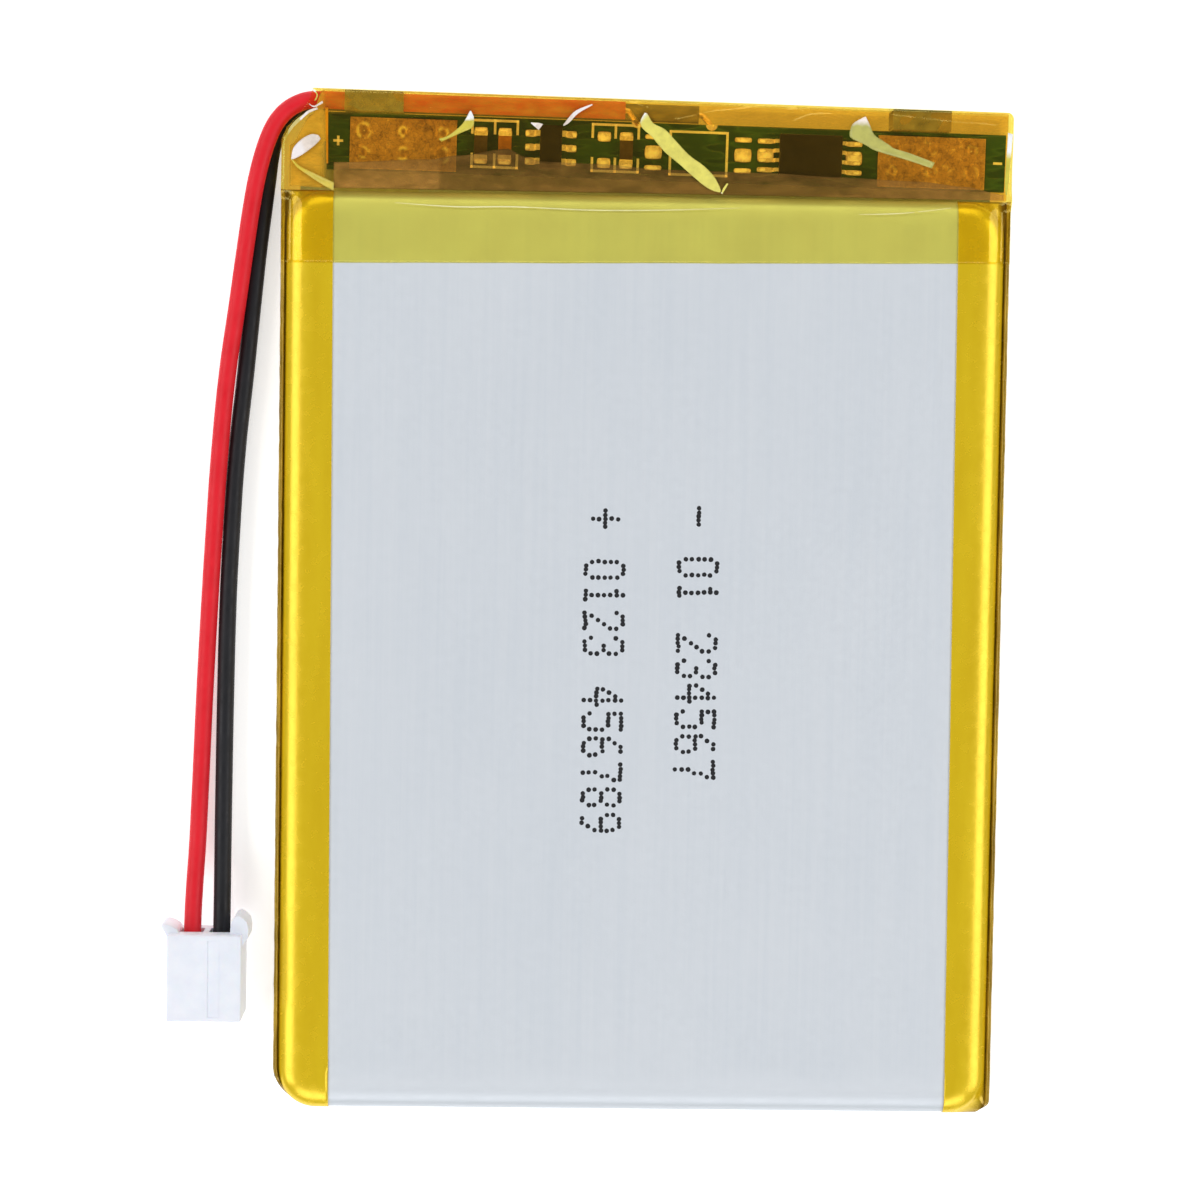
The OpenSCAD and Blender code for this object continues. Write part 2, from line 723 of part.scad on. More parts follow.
pouch_front_shell();
pouch_back_cover();
cathode_sheets();
anode_sheets();
separator();
stack_tapes();
positive_tab();
negative_tab();
positive_tab_sealant();
negative_tab_sealant();
at_board_end() circuit_board();
at_board_end() terminal_pads();
at_board_end() solder_pads();
at_board_end() via_plugs();
at_board_end() positive_weld_plate();
at_board_end() negative_weld_plate();
at_board_end() protection_ic();
at_board_end() protection_ic_leads();
at_board_end() power_switch();
at_board_end() power_switch_leads();
at_board_end() chip_resistors();
at_board_end() chip_capacitor();
at_board_end() chip_end_caps();
at_board_end() solder_fillets();
at_board_end() wire_solder_joints();
at_board_end() bare_wire_ends();
at_board_end() board_foam_pad();
side_tape_left();
side_tape_right();
end_tape();
at_board_end() red_lead_taped();
at_board_end() black_lead_taped();
red_lead();
black_lead();
crimp_terminals();
connector_housing();
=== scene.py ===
"""Looks of a flat lithium pouch cell, with its board, leads and two-way plug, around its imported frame.

Lengths in the shape functions are millimetres in the cell's frame; new_piece turns them into metres.
x runs across the cell, y towards the board end and z up from the back.
"""
import math
import random

import bmesh
import bpy
from mathutils import Matrix, Vector, noise


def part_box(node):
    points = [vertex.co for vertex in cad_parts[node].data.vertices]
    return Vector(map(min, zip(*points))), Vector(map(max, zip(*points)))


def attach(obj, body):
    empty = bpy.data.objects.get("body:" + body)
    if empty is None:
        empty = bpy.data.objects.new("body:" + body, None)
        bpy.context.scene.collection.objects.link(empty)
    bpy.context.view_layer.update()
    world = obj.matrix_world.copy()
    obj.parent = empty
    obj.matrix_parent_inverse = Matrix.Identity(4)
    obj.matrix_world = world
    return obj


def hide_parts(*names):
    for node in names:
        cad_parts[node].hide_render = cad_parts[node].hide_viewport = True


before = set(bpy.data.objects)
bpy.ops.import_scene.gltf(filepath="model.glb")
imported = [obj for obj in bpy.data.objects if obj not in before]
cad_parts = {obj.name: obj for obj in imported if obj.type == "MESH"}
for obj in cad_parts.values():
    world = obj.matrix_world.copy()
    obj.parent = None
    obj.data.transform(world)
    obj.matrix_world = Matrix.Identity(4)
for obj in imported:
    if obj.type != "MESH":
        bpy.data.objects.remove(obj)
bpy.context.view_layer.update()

MM = 0.001
ROOT = "root"


# ---- small tools ----

def box_mm(node):
    """Lowest and highest corners of a CAD node, in millimetres."""
    low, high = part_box(node)
    return low / MM, high / MM


def srgb(red, green, blue):
    """A colour as the eye sees it, 0 to 255, as linear values for a shader."""
    def linear(v):
        v /= 255
        return v / 12.92 if v <= 0.04045 else ((v + 0.055) / 1.055) ** 2.4
    return (linear(red), linear(green), linear(blue), 1)


def lerp(a, b, t):
    return a + (b - a) * t


def smoothstep(low, high, x):
    t = min(max((x - low) / (high - low), 0), 1)
    return t * t * (3 - 2 * t)


def waves(x, y, cell, seed=0):
    """Smooth noise from -1 to 1 whose bumps are about one cell wide."""
    return noise.noise(Vector((x / cell, y / cell, seed * 7.31)))


def spread(low, high, step):
    """Evenly spaced values from low to high, about one step apart."""
    count = max(1, round((high - low) / step))
    return [lerp(low, high, i / count) for i in range(count + 1)]


# The board end lies slightly askew, turned about the point where the leads come out
TURN = math.radians(0.95)
PIVOT = (-22.4, 34.35)


def turned(x, y):
    """Place of a point of the straight board end once it is turned with it."""
    dx, dy = x - PIVOT[0], y - PIVOT[1]
    return (PIVOT[0] + dx * math.cos(TURN) + dy * math.sin(TURN),
            PIVOT[1] - dx * math.sin(TURN) + dy * math.cos(TURN))


def straightened(x, y):
    """The reverse of turned."""
    dx, dy = x - PIVOT[0], y - PIVOT[1]
    return (PIVOT[0] + dx * math.cos(TURN) - dy * math.sin(TURN),
            PIVOT[1] + dx * math.sin(TURN) + dy * math.cos(TURN))


def smooth_line(points):
    """A smooth line through (x, y) points, with some steps between each two."""
    steps = 4
    ends = [points[0]] + list(points) + [points[-1]]
    line = []
    for a, b, c, d in zip(ends, ends[1:], ends[2:], ends[3:]):
        for i in range(steps):
            t = i / steps
            line.append(tuple(
                0.5 * (2 * b[k] + (c[k] - a[k]) * t + (2 * a[k] - 5 * b[k] + 4 * c[k] - d[k]) * t * t
                       + (3 * b[k] - a[k] - 3 * c[k] + d[k]) * t ** 3) for k in (0, 1)))
    return line + [tuple(points[-1])]


def islands(node, straight=False):
    """Boxes of the separate solids of a CAD node, each as (low, high) in millimetres.

    Those of the board end are measured with it turned straight.
    """
    mesh = bmesh.new()
    mesh.from_mesh(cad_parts[node].data)
    bmesh.ops.remove_doubles(mesh, verts=mesh.verts, dist=1e-7)
    found, seen = [], set()
    for start in mesh.verts:
        if start in seen:
            continue
        group, queue = [], [start]
        seen.add(start)
        while queue:
            vert = queue.pop()
            x, y, z = vert.co / MM
            group.append((*straightened(x, y), z) if straight else (x, y, z))
            for edge in vert.link_edges:
                other = edge.other_vert(vert)
                if other not in seen:
                    seen.add(other)
                    queue.append(other)
        low = Vector([min(v[k] for v in group) for k in range(3)])
        high = Vector([max(v[k] for v in group) for k in range(3)])
        found.append((low, high))
    mesh.free()
    return sorted(found, key=lambda pair: (round(pair[0].x, 3), round(pair[0].y, 3)))


# ---- shading ----

class Shade:
    """A procedural material: one Principled shader and the nodes that feed it."""

    def __init__(self, name, **values):
        self.material = bpy.data.materials.new(name)
        self.material.use_nodes = True
        self.tree = self.material.node_tree
        self.tree.nodes.clear()
        self.out = self.tree.nodes.new("ShaderNodeOutputMaterial")
        self.main = self.add("BsdfPrincipled", **values)
        self.link(self.main.outputs[0], self.out.inputs["Surface"])
        self.place = self.add("TexCoord").outputs["Object"]

    def add(self, kind, **values):
        node = self.tree.nodes.new("ShaderNode" + kind)
        for key, value in values.items():
            name = key.replace("_", " ")
            if name in node.inputs:
                node.inputs[name].default_value = value
            else:
                setattr(node, key, value)
        return node

    def link(self, source, target):
        self.tree.links.new(source, target)

    def feed(self, value, target):
        """Sets a socket to a number or colour, or links another socket to it."""
        if isinstance(value, (int, float, tuple)):
            target.default_value = value
        else:
            self.link(value, target)

    def scaled(self, cell):
        """Position measured in cells, each given as (x, y, z) millimetres."""
        mapping = self.add("Mapping", Scale=[1 / (c * MM) for c in cell])
        self.link(self.place, mapping.inputs["Vector"])
        return mapping.outputs[0]

    def grain(self, cell, detail, rough=0.5, warp=0.0):
        """Noise from 0 to 1 with features of about the given size."""
        cell = cell if isinstance(cell, tuple) else (cell,) * 3
        node = self.add("TexNoise", Scale=1.0, Detail=detail, Roughness=rough, Distortion=warp)
        self.link(self.scaled(cell), node.inputs["Vector"])
        return node.outputs[0]

    def mark(self, name):
        """A number stored on the mesh's points."""
        return self.add("Attribute", attribute_name=name).outputs["Fac"]

    def ramp(self, source, stops):
        node = self.add("ValToRGB")
        elements = node.color_ramp.elements
        while len(elements) < len(stops):
            elements.new(0.5)
        for element, (at, colour) in zip(elements, stops):
            element.position = at
            element.color = colour if isinstance(colour, tuple) else (colour,) * 3 + (1,)
        self.link(source, node.inputs[0])
        return node.outputs[0]

    def level(self, source, low, high):
        """Noise turned into a value between low and high."""
        node = self.add("MapRange", From_Min=0.3, From_Max=0.7, To_Min=low, To_Max=high)
        self.link(source, node.inputs["Value"])
        return node.outputs[0]

    def math(self, operation, a, b):
        node = self.add("Math", operation=operation)
        self.feed(a, node.inputs[0])
        self.feed(b, node.inputs[1])
        return node.outputs[0]

    def mix(self, share, a, b):
        node = self.add("MixRGB")
        for value, socket in zip((share, a, b), node.inputs):
            self.feed(value, socket)
        return node.outputs[0]

    def colour(self, source):
        self.link(source, self.main.inputs["Base Color"])

    def glow(self, strength):
        """Painted light: a little of the base colour given off again as emission, as if lit through the tape
        from all sides.
        """
        self.link(self.main.inputs["Base Color"].links[0].from_socket, self.main.inputs["Emission Color"])
        self.main.inputs["Emission Strength"].default_value = strength

    def roughness(self, source, low, high):
        self.link(self.level(source, low, high), self.main.inputs["Roughness"])

    def bump(self, source, depth):
        """Relief of a depth in millimetres; later calls stack on earlier ones."""
        node = self.add("Bump", Strength=1.0, Distance=depth * MM)
        self.link(source, node.inputs["Height"])
        normal = self.main.inputs["Normal"]
        if normal.is_linked:
            self.link(normal.links[0].from_socket, node.inputs["Normal"])
        self.link(node.outputs[0], normal)


def laminate(name, light, dark):
    """Satin coated foil with a faint lengthwise grain; painted light makes it paler at its foot and painted
    shade makes it darker along its lower edge.
    """
    s = Shade(name, Metallic=0.2, Roughness=0.42)
    streaks = s.grain((0.35, 16, 4), 4, 0.6)
    clouds = s.grain(9, 2)
    blend = s.mix(0.4, streaks, clouds)
    body = s.ramp(blend, [(0.35, dark), (0.65, light)])
    # Painted light: the marked foot and the band by the pocket's top edge get a paler colour
    body = s.mix(s.mark("foot"), body, tuple(min(1, c * 1.03) for c in light))
    # Painted shade: a darker colour along the face's lower edge, damping the highlight on the rounded
    # shoulder there
    s.colour(s.mix(s.mark("painted_shade_lip"), body, tuple(c * 0.87 for c in dark)))
    s.roughness(s.grain(0.5, 4), 0.36, 0.46)
    s.bump(streaks, 0.0012)
    s.bump(s.grain(0.25, 3), 0.001)
    return s.material


def metal(name, colour, dark, rough, cell, depth, stretch=(1, 1, 1), metallic=1.0, glint=False, glow=0.0):
    """Soft metal with a mottled tone and a fine uneven surface; a painted highlight lightens the crests
    marked glint.
    """
    s = Shade(name, Metallic=metallic)
    tone = s.grain(tuple(cell * k for k in stretch), 4, 0.6)
    if glint:
        tone = s.math("ADD", s.math("MULTIPLY", tone, 0.6), s.math("MULTIPLY", s.mark("glint"), 0.5))
    s.colour(s.ramp(tone, [(0.3, dark), (0.7, colour)]))
    # Painted light: some of the colour given off again as emission
    if glow:
        s.glow(glow)
    s.roughness(s.grain(cell * 1.7, 3), rough * 0.7, rough * 1.4)
    s.bump(s.grain(tuple(cell * 0.6 * k for k in stretch), 4, 0.6), depth)
    return s.material


def plastic(name, colour, dark, rough, cell, depth, glow=0.0, **values):
    """Moulded or coated surface with a faint mottle and fine relief."""
    s = Shade(name, **values)
    s.colour(s.ramp(s.grain(cell, 4, 0.55), [(0.3, dark), (0.7, colour)]))
    # Painted light: some of the colour given off again as emission
    if glow:
        s.glow(glow)
    s.roughness(s.grain(cell * 0.4, 3), rough * 0.85, rough * 1.2)
    s.bump(s.grain(cell * 0.12, 3), depth)
    return s.material


GLANCE = (1.0, 0.86, 0.4, 1)     # colour of the light that glances off clear tape
CLEAR_GLANCE = 0.042             # share of the light that glances off it face on


def film(name, tint, haze_colour=None):
    """Clear tinted tape: light is tinted at each of its two faces, and glances off them.

    A hazy tape also scatters some light, by the amount stored in its "haze" mark.
    """
    hazy = haze_colour is not None
    s = Shade(name, Roughness=0.3 if hazy else 0.08, Metallic=0.0 if hazy else 1.0)
    body = haze_colour if hazy else GLANCE
    s.colour(s.ramp(s.grain(0.9, 3), [(0.3, tuple(c * 0.8 for c in body[:3]) + (1,)), (0.7, body)]))
    s.bump(s.grain((1.6, 0.7, 1), 3, 0.5), 0.008)
    clear = s.add("BsdfTransparent")
    paler = tuple(min(1, c * 1.02) for c in tint)
    s.link(s.ramp(s.grain(3.0, 2), [(0.3, tint), (0.7, paler)]), clear.inputs[0])
    edge = s.add("LayerWeight", Blend=0.5)
    s.link(s.main.inputs["Normal"].links[0].from_socket, edge.inputs["Normal"])
    amount = s.math("MULTIPLY", s.math("POWER", edge.outputs["Facing"], 5.0), 0.5)
    if hazy:
        uneven = s.level(s.grain((1.4, 0.5, 1), 4, 0.6), 0.6, 1.4)
        amount = s.math("ADD", amount, s.math("MULTIPLY", s.mark("haze"), uneven))
    else:
        amount = s.math("ADD", amount, CLEAR_GLANCE)
    both = s.add("MixShader")
    for source, socket in zip((amount, clear.outputs[0], s.main.outputs[0]), both.inputs):
        s.link(source, socket)
    s.link(both.outputs[0], s.out.inputs["Surface"])
    return s.material


def fold_material(name, tip, body, change):
    """A fold of film with a painted highlight that makes it pale at its tip, with the change of colour at a
    share of its length.
    """
    s = Shade(name, Roughness=0.3)
    place = s.math("ADD", s.mark("along"), s.math("MULTIPLY", s.grain(0.5, 3), 0.1))
    dark = tuple(c * 0.84 for c in body[:3]) + (1,)
    mottled = s.ramp(s.grain(0.7, 4, 0.6), [(0.35, dark), (0.6, body)])
    step = s.ramp(place, [(max(change - 0.03, 0), 0.0), (change + 0.06, 1.0)])
    s.colour(s.mix(step, tip, mottled))
    s.bump(s.grain(0.4, 3), 0.02)
    return s.material


# ---- making pieces ----

def new_piece(name, verts, faces, material, replaces=(), sharp=35, marks=None, askew=False):
    """A mesh piece from points in millimetres, riding on the cell."""
    mesh = bpy.data.meshes.new(name)
    if askew:
        verts = [(*turned(x, y), z) for x, y, z in verts]
    mesh.from_pydata([[c * MM for c in v] for v in verts], [], faces)
    for key, values in (marks or {}).items():
        layer = mesh.attributes.new(key, "FLOAT", "POINT")
        layer.data.foreach_set("value", values)
    return finish_piece(name, mesh, material, replaces, sharp)


def finish_piece(name, mesh, material, replaces=(), sharp=35):
    """Cleans a mesh, shades it smooth except at sharp edges, and rides it on the cell."""
    work = bmesh.new()
    work.from_mesh(mesh)
    bmesh.ops.remove_doubles(work, verts=work.verts, dist=1e-8)
    bmesh.ops.dissolve_degenerate(work, edges=work.edges, dist=1e-8)
    bmesh.ops.recalc_face_normals(work, faces=work.faces)
    work.to_mesh(mesh)
    work.free()
    for polygon in mesh.polygons:
        polygon.use_smooth = True
    mesh.set_sharp_from_angle(angle=math.radians(sharp))
    piece = bpy.data.objects.new(name, mesh)
    bpy.context.scene.collection.objects.link(piece)
    piece.data.materials.append(material)
    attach(piece, ROOT)
    if replaces:
        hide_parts(*replaces)
    return piece


class Build:
    """Points and faces gathered in millimetres, for one piece."""

    def __init__(self):
        self.verts, self.faces, self.marks = [], [], {}

    def grid(self, rows, closed=False):
        """Joins rows of points of one length into quads, and returns the first index."""
        first, width = len(self.verts), len(rows[0])
        for row in rows:
            self.verts.extend(row)
        for j in range(len(rows) - 1):
            for i in range(width if closed else width - 1):
                a = first + j * width + i
                b = first + j * width + (i + 1) % width
                self.faces.append((a, b, b + width, a + width))
        return first

    def cap(self, ring_start, count):
        self.faces.append(tuple(range(ring_start, ring_start + count)))

    def block(self, low, high):
        (x0, y0, z0), (x1, y1, z1) = low, high
        ring = [(x0, y0), (x1, y0), (x1, y1), (x0, y1)]
        first = self.grid([[(x, y, z) for x, y in ring] for z in (z0, z1)], closed=True)
        self.cap(first, 4)
        self.cap(first + 4, 4)

    def piece(self, name, material, slot, replaces=(), sharp=35, askew=False):
        return new_piece(name, self.verts, self.faces, material, replaces, sharp, self.marks, askew)


def thicken(piece, thickness):
    """Gives a sheet its thickness in millimetres, on the side away from its normals."""
    modifier = piece.modifiers.new("thickness", "SOLIDIFY")
    modifier.thickness = thickness * MM
    modifier.offset = -1
    modifier.use_even_offset = False


def add_box(mesh, low, high):
    """Adds a box between two corners to a bmesh, in the units of the corners."""
    for v in bmesh.ops.create_cube(mesh, size=1.0)["verts"]:
        v.co = Vector([lerp(low[k], high[k], v.co[k] + 0.5) for k in range(3)])


def bevel(mesh, radius, segments):
    """Rounds every edge of a bmesh."""
    bmesh.ops.bevel(mesh, geom=mesh.edges[:], offset=radius, segments=segments, profile=0.5,
                    affect="EDGES", clamp_overlap=True)


# ---- sizes from the frame ----

body_low, body_high = box_mm("end_tape")
half_w, half_l, lap_y = body_high.x, body_high.y, body_low.y
shell_low, shell_high = box_mm("pouch_front_shell")
face_z, seal_z, terrace_y = shell_high.z, shell_low.z, shell_high.y
pocket_y = box_mm("side_tape_right")[1].y
board_low, board_high = islands("circuit_board", straight=True)[0]

FILM_T = 0.11            # laminate film
TAPE_T = 0.06            # polyimide tape
TAPE_SHEET_T = 0.03      # the sheet that shows its outside
CLEAR_T = 0.025          # clear tape
FOLD_T = 0.02            # a fold or an inner sheet of it
SOLDER_T = 0.05          # solder crust on the terminal pads
FLAP_TOP = 1.96          # folded seal's top, just under the side tape's crest
FOLD = 0.38              # from the cell's side to the pocket's wall
CORNER = 2.6             # pocket's corner in plan
SHOULDER = 1.0           # height of the pocket's shoulder
SHOULDER_W = 1.7         # its width
wall_x = half_w - FOLD


# ---- camera, light and floor ----

def make_camera():
    data = bpy.data.cameras.new("camera")
    data.lens = 90
    data.sensor_width = 36
    data.clip_start = 0.01
    camera = bpy.data.objects.new("camera", data)
    camera.location = (-0.0084, 0.0129, 0.2085)
    camera.rotation_euler = [math.radians(a) for a in (-3.464, -1.5, 0.913)]
    bpy.context.scene.collection.objects.link(camera)
    bpy.context.scene.camera = camera


SOFTBOX_SIZE = (0.6, 0.2)
SOFTBOXES = (                    # name, place and power
    ("left_softbox", (-0.36, 0.0, 0.28), 1.15),
    ("right_softbox", (0.38, 0.0, 0.28), 1.15),
    ("near_softbox", (0.0, -0.42, 0.3), 1.1),
    ("far_softbox", (0.0, 0.44, 0.3), 0.95),
)


def make_studio():
    """A dim pale world and four softboxes aimed at the cell's middle."""
    scene = bpy.context.scene
    scene.view_settings.view_transform = "Standard"
    scene.world = bpy.data.worlds.new("studio")
    scene.world.use_nodes = True
    background = scene.world.node_tree.nodes["Background"]
    background.inputs["Color"].default_value = (0.94, 0.97, 1.0, 1)
    background.inputs["Strength"].default_value = 0.16
    for name, at, power in SOFTBOXES:
        data = bpy.data.lights.new(name, "AREA")
        data.shape = "RECTANGLE"
        data.size, data.size_y = SOFTBOX_SIZE
        data.energy = power
        light = bpy.data.objects.new(name, data)
        light.location = at
        way = Vector() - Vector(at)
        light.rotation_euler = way.to_track_quat("-Z", "Y").to_euler()
        scene.collection.objects.link(light)


FLOOR_HALF = 1.2                 # metres from the middle to the floor's edge
FLOOR_Z = -0.0002
FLOOR_GLOW = 0.5                 # fills the shadows, as light from all sides does


def make_floor():
    mesh = bpy.data.meshes.new("floor")
    corners = [(-1, -1), (1, -1), (1, 1), (-1, 1)]
    mesh.from_pydata([(x * FLOOR_HALF, y * FLOOR_HALF, FLOOR_Z) for x, y in corners], [], [(0, 1, 2, 3)])
    floor = bpy.data.objects.new("floor", mesh)
    s = Shade("floor_paper", Roughness=0.9, Emission_Strength=FLOOR_GLOW)
    s.colour(s.ramp(s.grain(2.0, 3), [(0.3, (0.955, 0.955, 0.955, 1)), (0.7, (0.97, 0.97, 0.97, 1))]))
    s.bump(s.grain(0.4, 3), 0.01)
    mesh.materials.append(s.material)
    bpy.context.scene.collection.objects.link(floor)


# ---- leads ----

# The free stretches, from the tape's corner to the plug, in metres
RED_ROUTE = [
    (-0.0224, 0.03435, 0.00199), (-0.0232, 0.0343, 0.00199), (-0.02395, 0.03405, 0.00198),
    (-0.0246, 0.03365, 0.00197), (-0.02515, 0.0331, 0.00195), (-0.0256, 0.0324, 0.00193),
    (-0.02598, 0.0315, 0.00191), (-0.0263, 0.0305, 0.00189), (-0.02665, 0.0291, 0.00184),
    (-0.027, 0.0272, 0.00174), (-0.0274, 0.0245, 0.0016), (-0.02795, 0.0205, 0.00142),
    (-0.0286, 0.0158, 0.00128), (-0.0291, 0.0104, 0.00118), (-0.0295, 0.004, 0.0011),
    (-0.02972, 0, 0.00102), (-0.03004, -0.0065, 0.00082), (-0.0303, -0.013, 0.00068),
    (-0.03045, -0.0172, 0.00098), (-0.03055, -0.0198, 0.0016), (-0.0306, -0.022, 0.00208),
    (-0.0306, -0.02385, 0.0022),
]
BLACK_ROUTE = [
    (-0.0224, 0.03435, 0.00077), (-0.02315, 0.03428, 0.00076), (-0.02385, 0.03402, 0.00075),
    (-0.02445, 0.0336, 0.00073), (-0.02495, 0.03305, 0.00071), (-0.02535, 0.03235, 0.00069),
    (-0.02565, 0.0315, 0.00067), (-0.02585, 0.0305, 0.00065), (-0.02602, 0.0291, 0.00063),
    (-0.02625, 0.0272, 0.00062), (-0.02658, 0.0245, 0.00062), (-0.02698, 0.0205, 0.00062),
    (-0.02742, 0.0158, 0.00062), (-0.02796, 0.0104, 0.00062), (-0.02834, 0.004, 0.00062),
    (-0.0285, 0, 0.00062), (-0.02862, -0.0065, 0.00062), (-0.02868, -0.013, 0.00068),
    (-0.02868, -0.0172, 0.00098), (-0.02863, -0.0198, 0.0016), (-0.0286, -0.022, 0.00208),
    (-0.0286, -0.02385, 0.0022),
]
LEAD_D = 0.0012


def make_lead(name, route, material, replaces):
    """A round insulated wire along a route."""
    curve = bpy.data.curves.new(name, "CURVE")
    curve.dimensions = "3D"
    spline = curve.splines.new("BEZIER")
    spline.bezier_points.add(len(route) - 1)
    for point, at in zip(spline.bezier_points, route):
        point.co = at
        point.handle_left_type = "AUTO"
        point.handle_right_type = "AUTO"
    spline.resolution_u = 8
    curve.bevel_depth = LEAD_D / 2
    curve.bevel_resolution = 6
    curve.use_fill_caps = True
    lead = bpy.data.objects.new(name, curve)
    bpy.context.scene.collection.objects.link(lead)
    curve.materials.append(material)
    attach(lead, ROOT)
    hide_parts(replaces)
    return lead


# ---- pouch ----

def rounded_ring(x, y0, y1, corner, inset, cuts_x, cuts_y, steps):
    """Outline of a rounded rectangle, moved in by inset; straight runs keep the given cuts."""
    r = max(corner - inset, 0)
    points = []
    centres = [(x - corner, y1 - corner, 0), (-x + corner, y1 - corner, 90),
               (-x + corner, y0 + corner, 180), (x - corner, y0 + corner, 270)]
    for k, (cx, cy, start) in enumerate(centres):
        for i in range(steps + 1):
            a = math.radians(start + 90 * i / steps)
            points.append((cx + r * math.cos(a), cy + r * math.sin(a)))
        if k == 0:
            points += [(c, y1 - inset) for c in reversed(cuts_x)]
        elif k == 1:
            points += [(-x + inset, c) for c in reversed(cuts_y)]
        elif k == 2:
            points += [(c, y0 + inset) for c in cuts_x]
        else:
            points += [(x - inset, c) for c in cuts_y]
    return points


def face_height(x, y):
    """The drawn pocket's face, which is slightly uneven."""
    edge = min(wall_x - abs(x), pocket_y - y, y + half_l)
    broad = 0.02 * waves(x, y, 14, 1) + 0.008 * waves(x, y, 4, 2)
    return face_z - 0.005 + broad * smoothstep(0.9, 3, edge)


def corner_dip(x, y):
    """The face sinks a little at its two lower corners, under the side tapes."""
    beside = smoothstep(-1.0, 0.2, abs(x) - (wall_x - CORNER))
    below = smoothstep(-1.0, 0.2, -half_l + CORNER - y)
    return 0.07 * beside * below


def make_pouch_front(material):
    """The drawn cup, from its wall's foot up over the shoulder to the face."""
    b = Build()
    inner_x, inner_y0, inner_y1 = wall_x - CORNER, -half_l + CORNER, pocket_y - CORNER
    cuts_x = spread(-inner_x, inner_x, 0.9)
    cuts_y = spread(inner_y0, inner_y1, 0.9)
    steps = 10
    levels = [(0, seal_z), (0, face_z - SHOULDER)]
    for k in range(1, 10):
        a = math.radians(10 * k)
        levels.append((SHOULDER_W * (1 - math.cos(a)), face_z - SHOULDER * (1 - math.sin(a))))
    levels += [(1.9, face_z), (2.15, face_z), (2.4, face_z), (CORNER, face_z)]
    rows = []
    for inset, z in levels:
        ring = rounded_ring(wall_x, -half_l, pocket_y, CORNER, inset, cuts_x[1:-1], cuts_y[1:-1], steps)
        lift = smoothstep(face_z - 0.3, face_z, z)
        row = []
        for x, y in ring:
            row.append((x, y, lerp(z, face_height(x, y) - (face_z - z), lift) - corner_dip(x, y)))
        rows.append(row)
    b.grid(rows, closed=True)
    b.grid([[(x, y, face_height(x, y) - corner_dip(x, y)) for x in cuts_x] for y in cuts_y])
    # Mask of the painted light: the face's foot and the band by the pocket's top edge
    b.marks["foot"] = [max(1 - smoothstep(1.2, 3.4, y + half_l + 0.4 * waves(x, 0, 5, 8)),
                           1 - smoothstep(1.0, 2.0, pocket_y - y)) for x, y, z in b.verts]
    # Mask of the painted shade along the face's lower edge
    b.marks["painted_shade_lip"] = [1 - smoothstep(0.7, 1.9, y + half_l) for x, y, z in b.verts]
    thicken(b.piece("pouch_front", material, "laminate_front", ["pouch_front_shell"], sharp=50), FILM_T)


def make_pouch_seals(material):
    """The flat seal at the board end and the folded seals along both sides."""
    b = Build()
    x = wall_x - 0.8
    cut = 3
    plan = [(-x, pocket_y - 0.2), (x, pocket_y - 0.2), (x, terrace_y - cut), (x - cut, terrace_y),
            (-x + cut, terrace_y), (-x, terrace_y - cut)]
    count = len(plan)
    first = b.grid([[(px, py, z) for px, py in plan] for z in (seal_z, seal_z + FILM_T)], closed=True)
    b.cap(first, count)
    b.cap(first + count, count)
    flap_x = half_w - TAPE_T - FILM_T
    for side in (-1, 1):
        rows = []
        for y in spread(-half_l + 2.2, pocket_y - 0.3, 0.5):
            top = FLAP_TOP + 0.012 * waves(side * 40, y, 2.2, 5)
            profile = [(wall_x, seal_z), (flap_x - FILM_T, seal_z), (flap_x, seal_z), (flap_x, top),
                       (flap_x - FILM_T + 0.06, top), (flap_x - FILM_T, seal_z + FILM_T),
                       (wall_x, seal_z + FILM_T)]
            rows.append([(side * px, y, pz) for px, pz in profile])
        first = b.grid(rows, closed=True)
        b.cap(first, len(rows[0]))
        b.cap(len(b.verts) - len(rows[0]), len(rows[0]))
    b.piece("pouch_seals", material, "laminate_front")


# ---- separator ----

def folded_ring(half, layers, thickness):
    """Outline across a film folded to and fro, as (x, z), with its folds at x = half and -half."""
    rising, falling = [(-half, layers[0][0])], [(-half, layers[0][1])]
    for k, (under, above) in enumerate(zip(layers, layers[1:])):
        side = 1 if k % 2 == 0 else -1
        outside = [(side * half, under[0]), (side * half, above[1])]
        inside = [(side * (half - thickness), under[1]), (side * (half - thickness), above[0])]
        rising += outside if side > 0 else inside
        falling += inside if side > 0 else outside
    rising.append((-half, layers[-1][1]))
    falling.append((-half, layers[-1][0]))
    return rising + falling[::-1]


def make_separator(material):
    """The folded separator, with its corners trimmed beside the pocket's rounded ones."""
    low, high = box_mm("separator")
    levels = sorted({round(v.co.z / MM, 4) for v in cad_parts["separator"].data.vertices})
    layers = list(zip(levels[::2], levels[1::2]))
    thickness = layers[0][1] - layers[0][0]
    trim = 0.9                   # cut off each corner
    b = Build()
    rows = []
    for y, half in ((low.y, high.x - trim), (low.y + trim, high.x), (high.y, high.x)):
        rows.append([(x, y, z) for x, z in folded_ring(half, layers, thickness)])
    b.grid(rows, closed=True)
    count = len(rows[0])
    b.cap(0, count)
    b.cap(2 * count, count)
    b.piece("separator_film", material, "separator", ["separator"])


# ---- side tapes ----

def tape_edge(side, y):
    """How far out the tape's edge on the face runs; both tapes are slightly askew."""
    top_y, low_y = 25, -34
    t = (top_y - y) / (top_y - low_y)
    return lerp(21.4, 21.14, t) if side < 0 else lerp(21.35, 21.72, t)


TAPE_W = 2.2             # width of the tape's soft shoulder


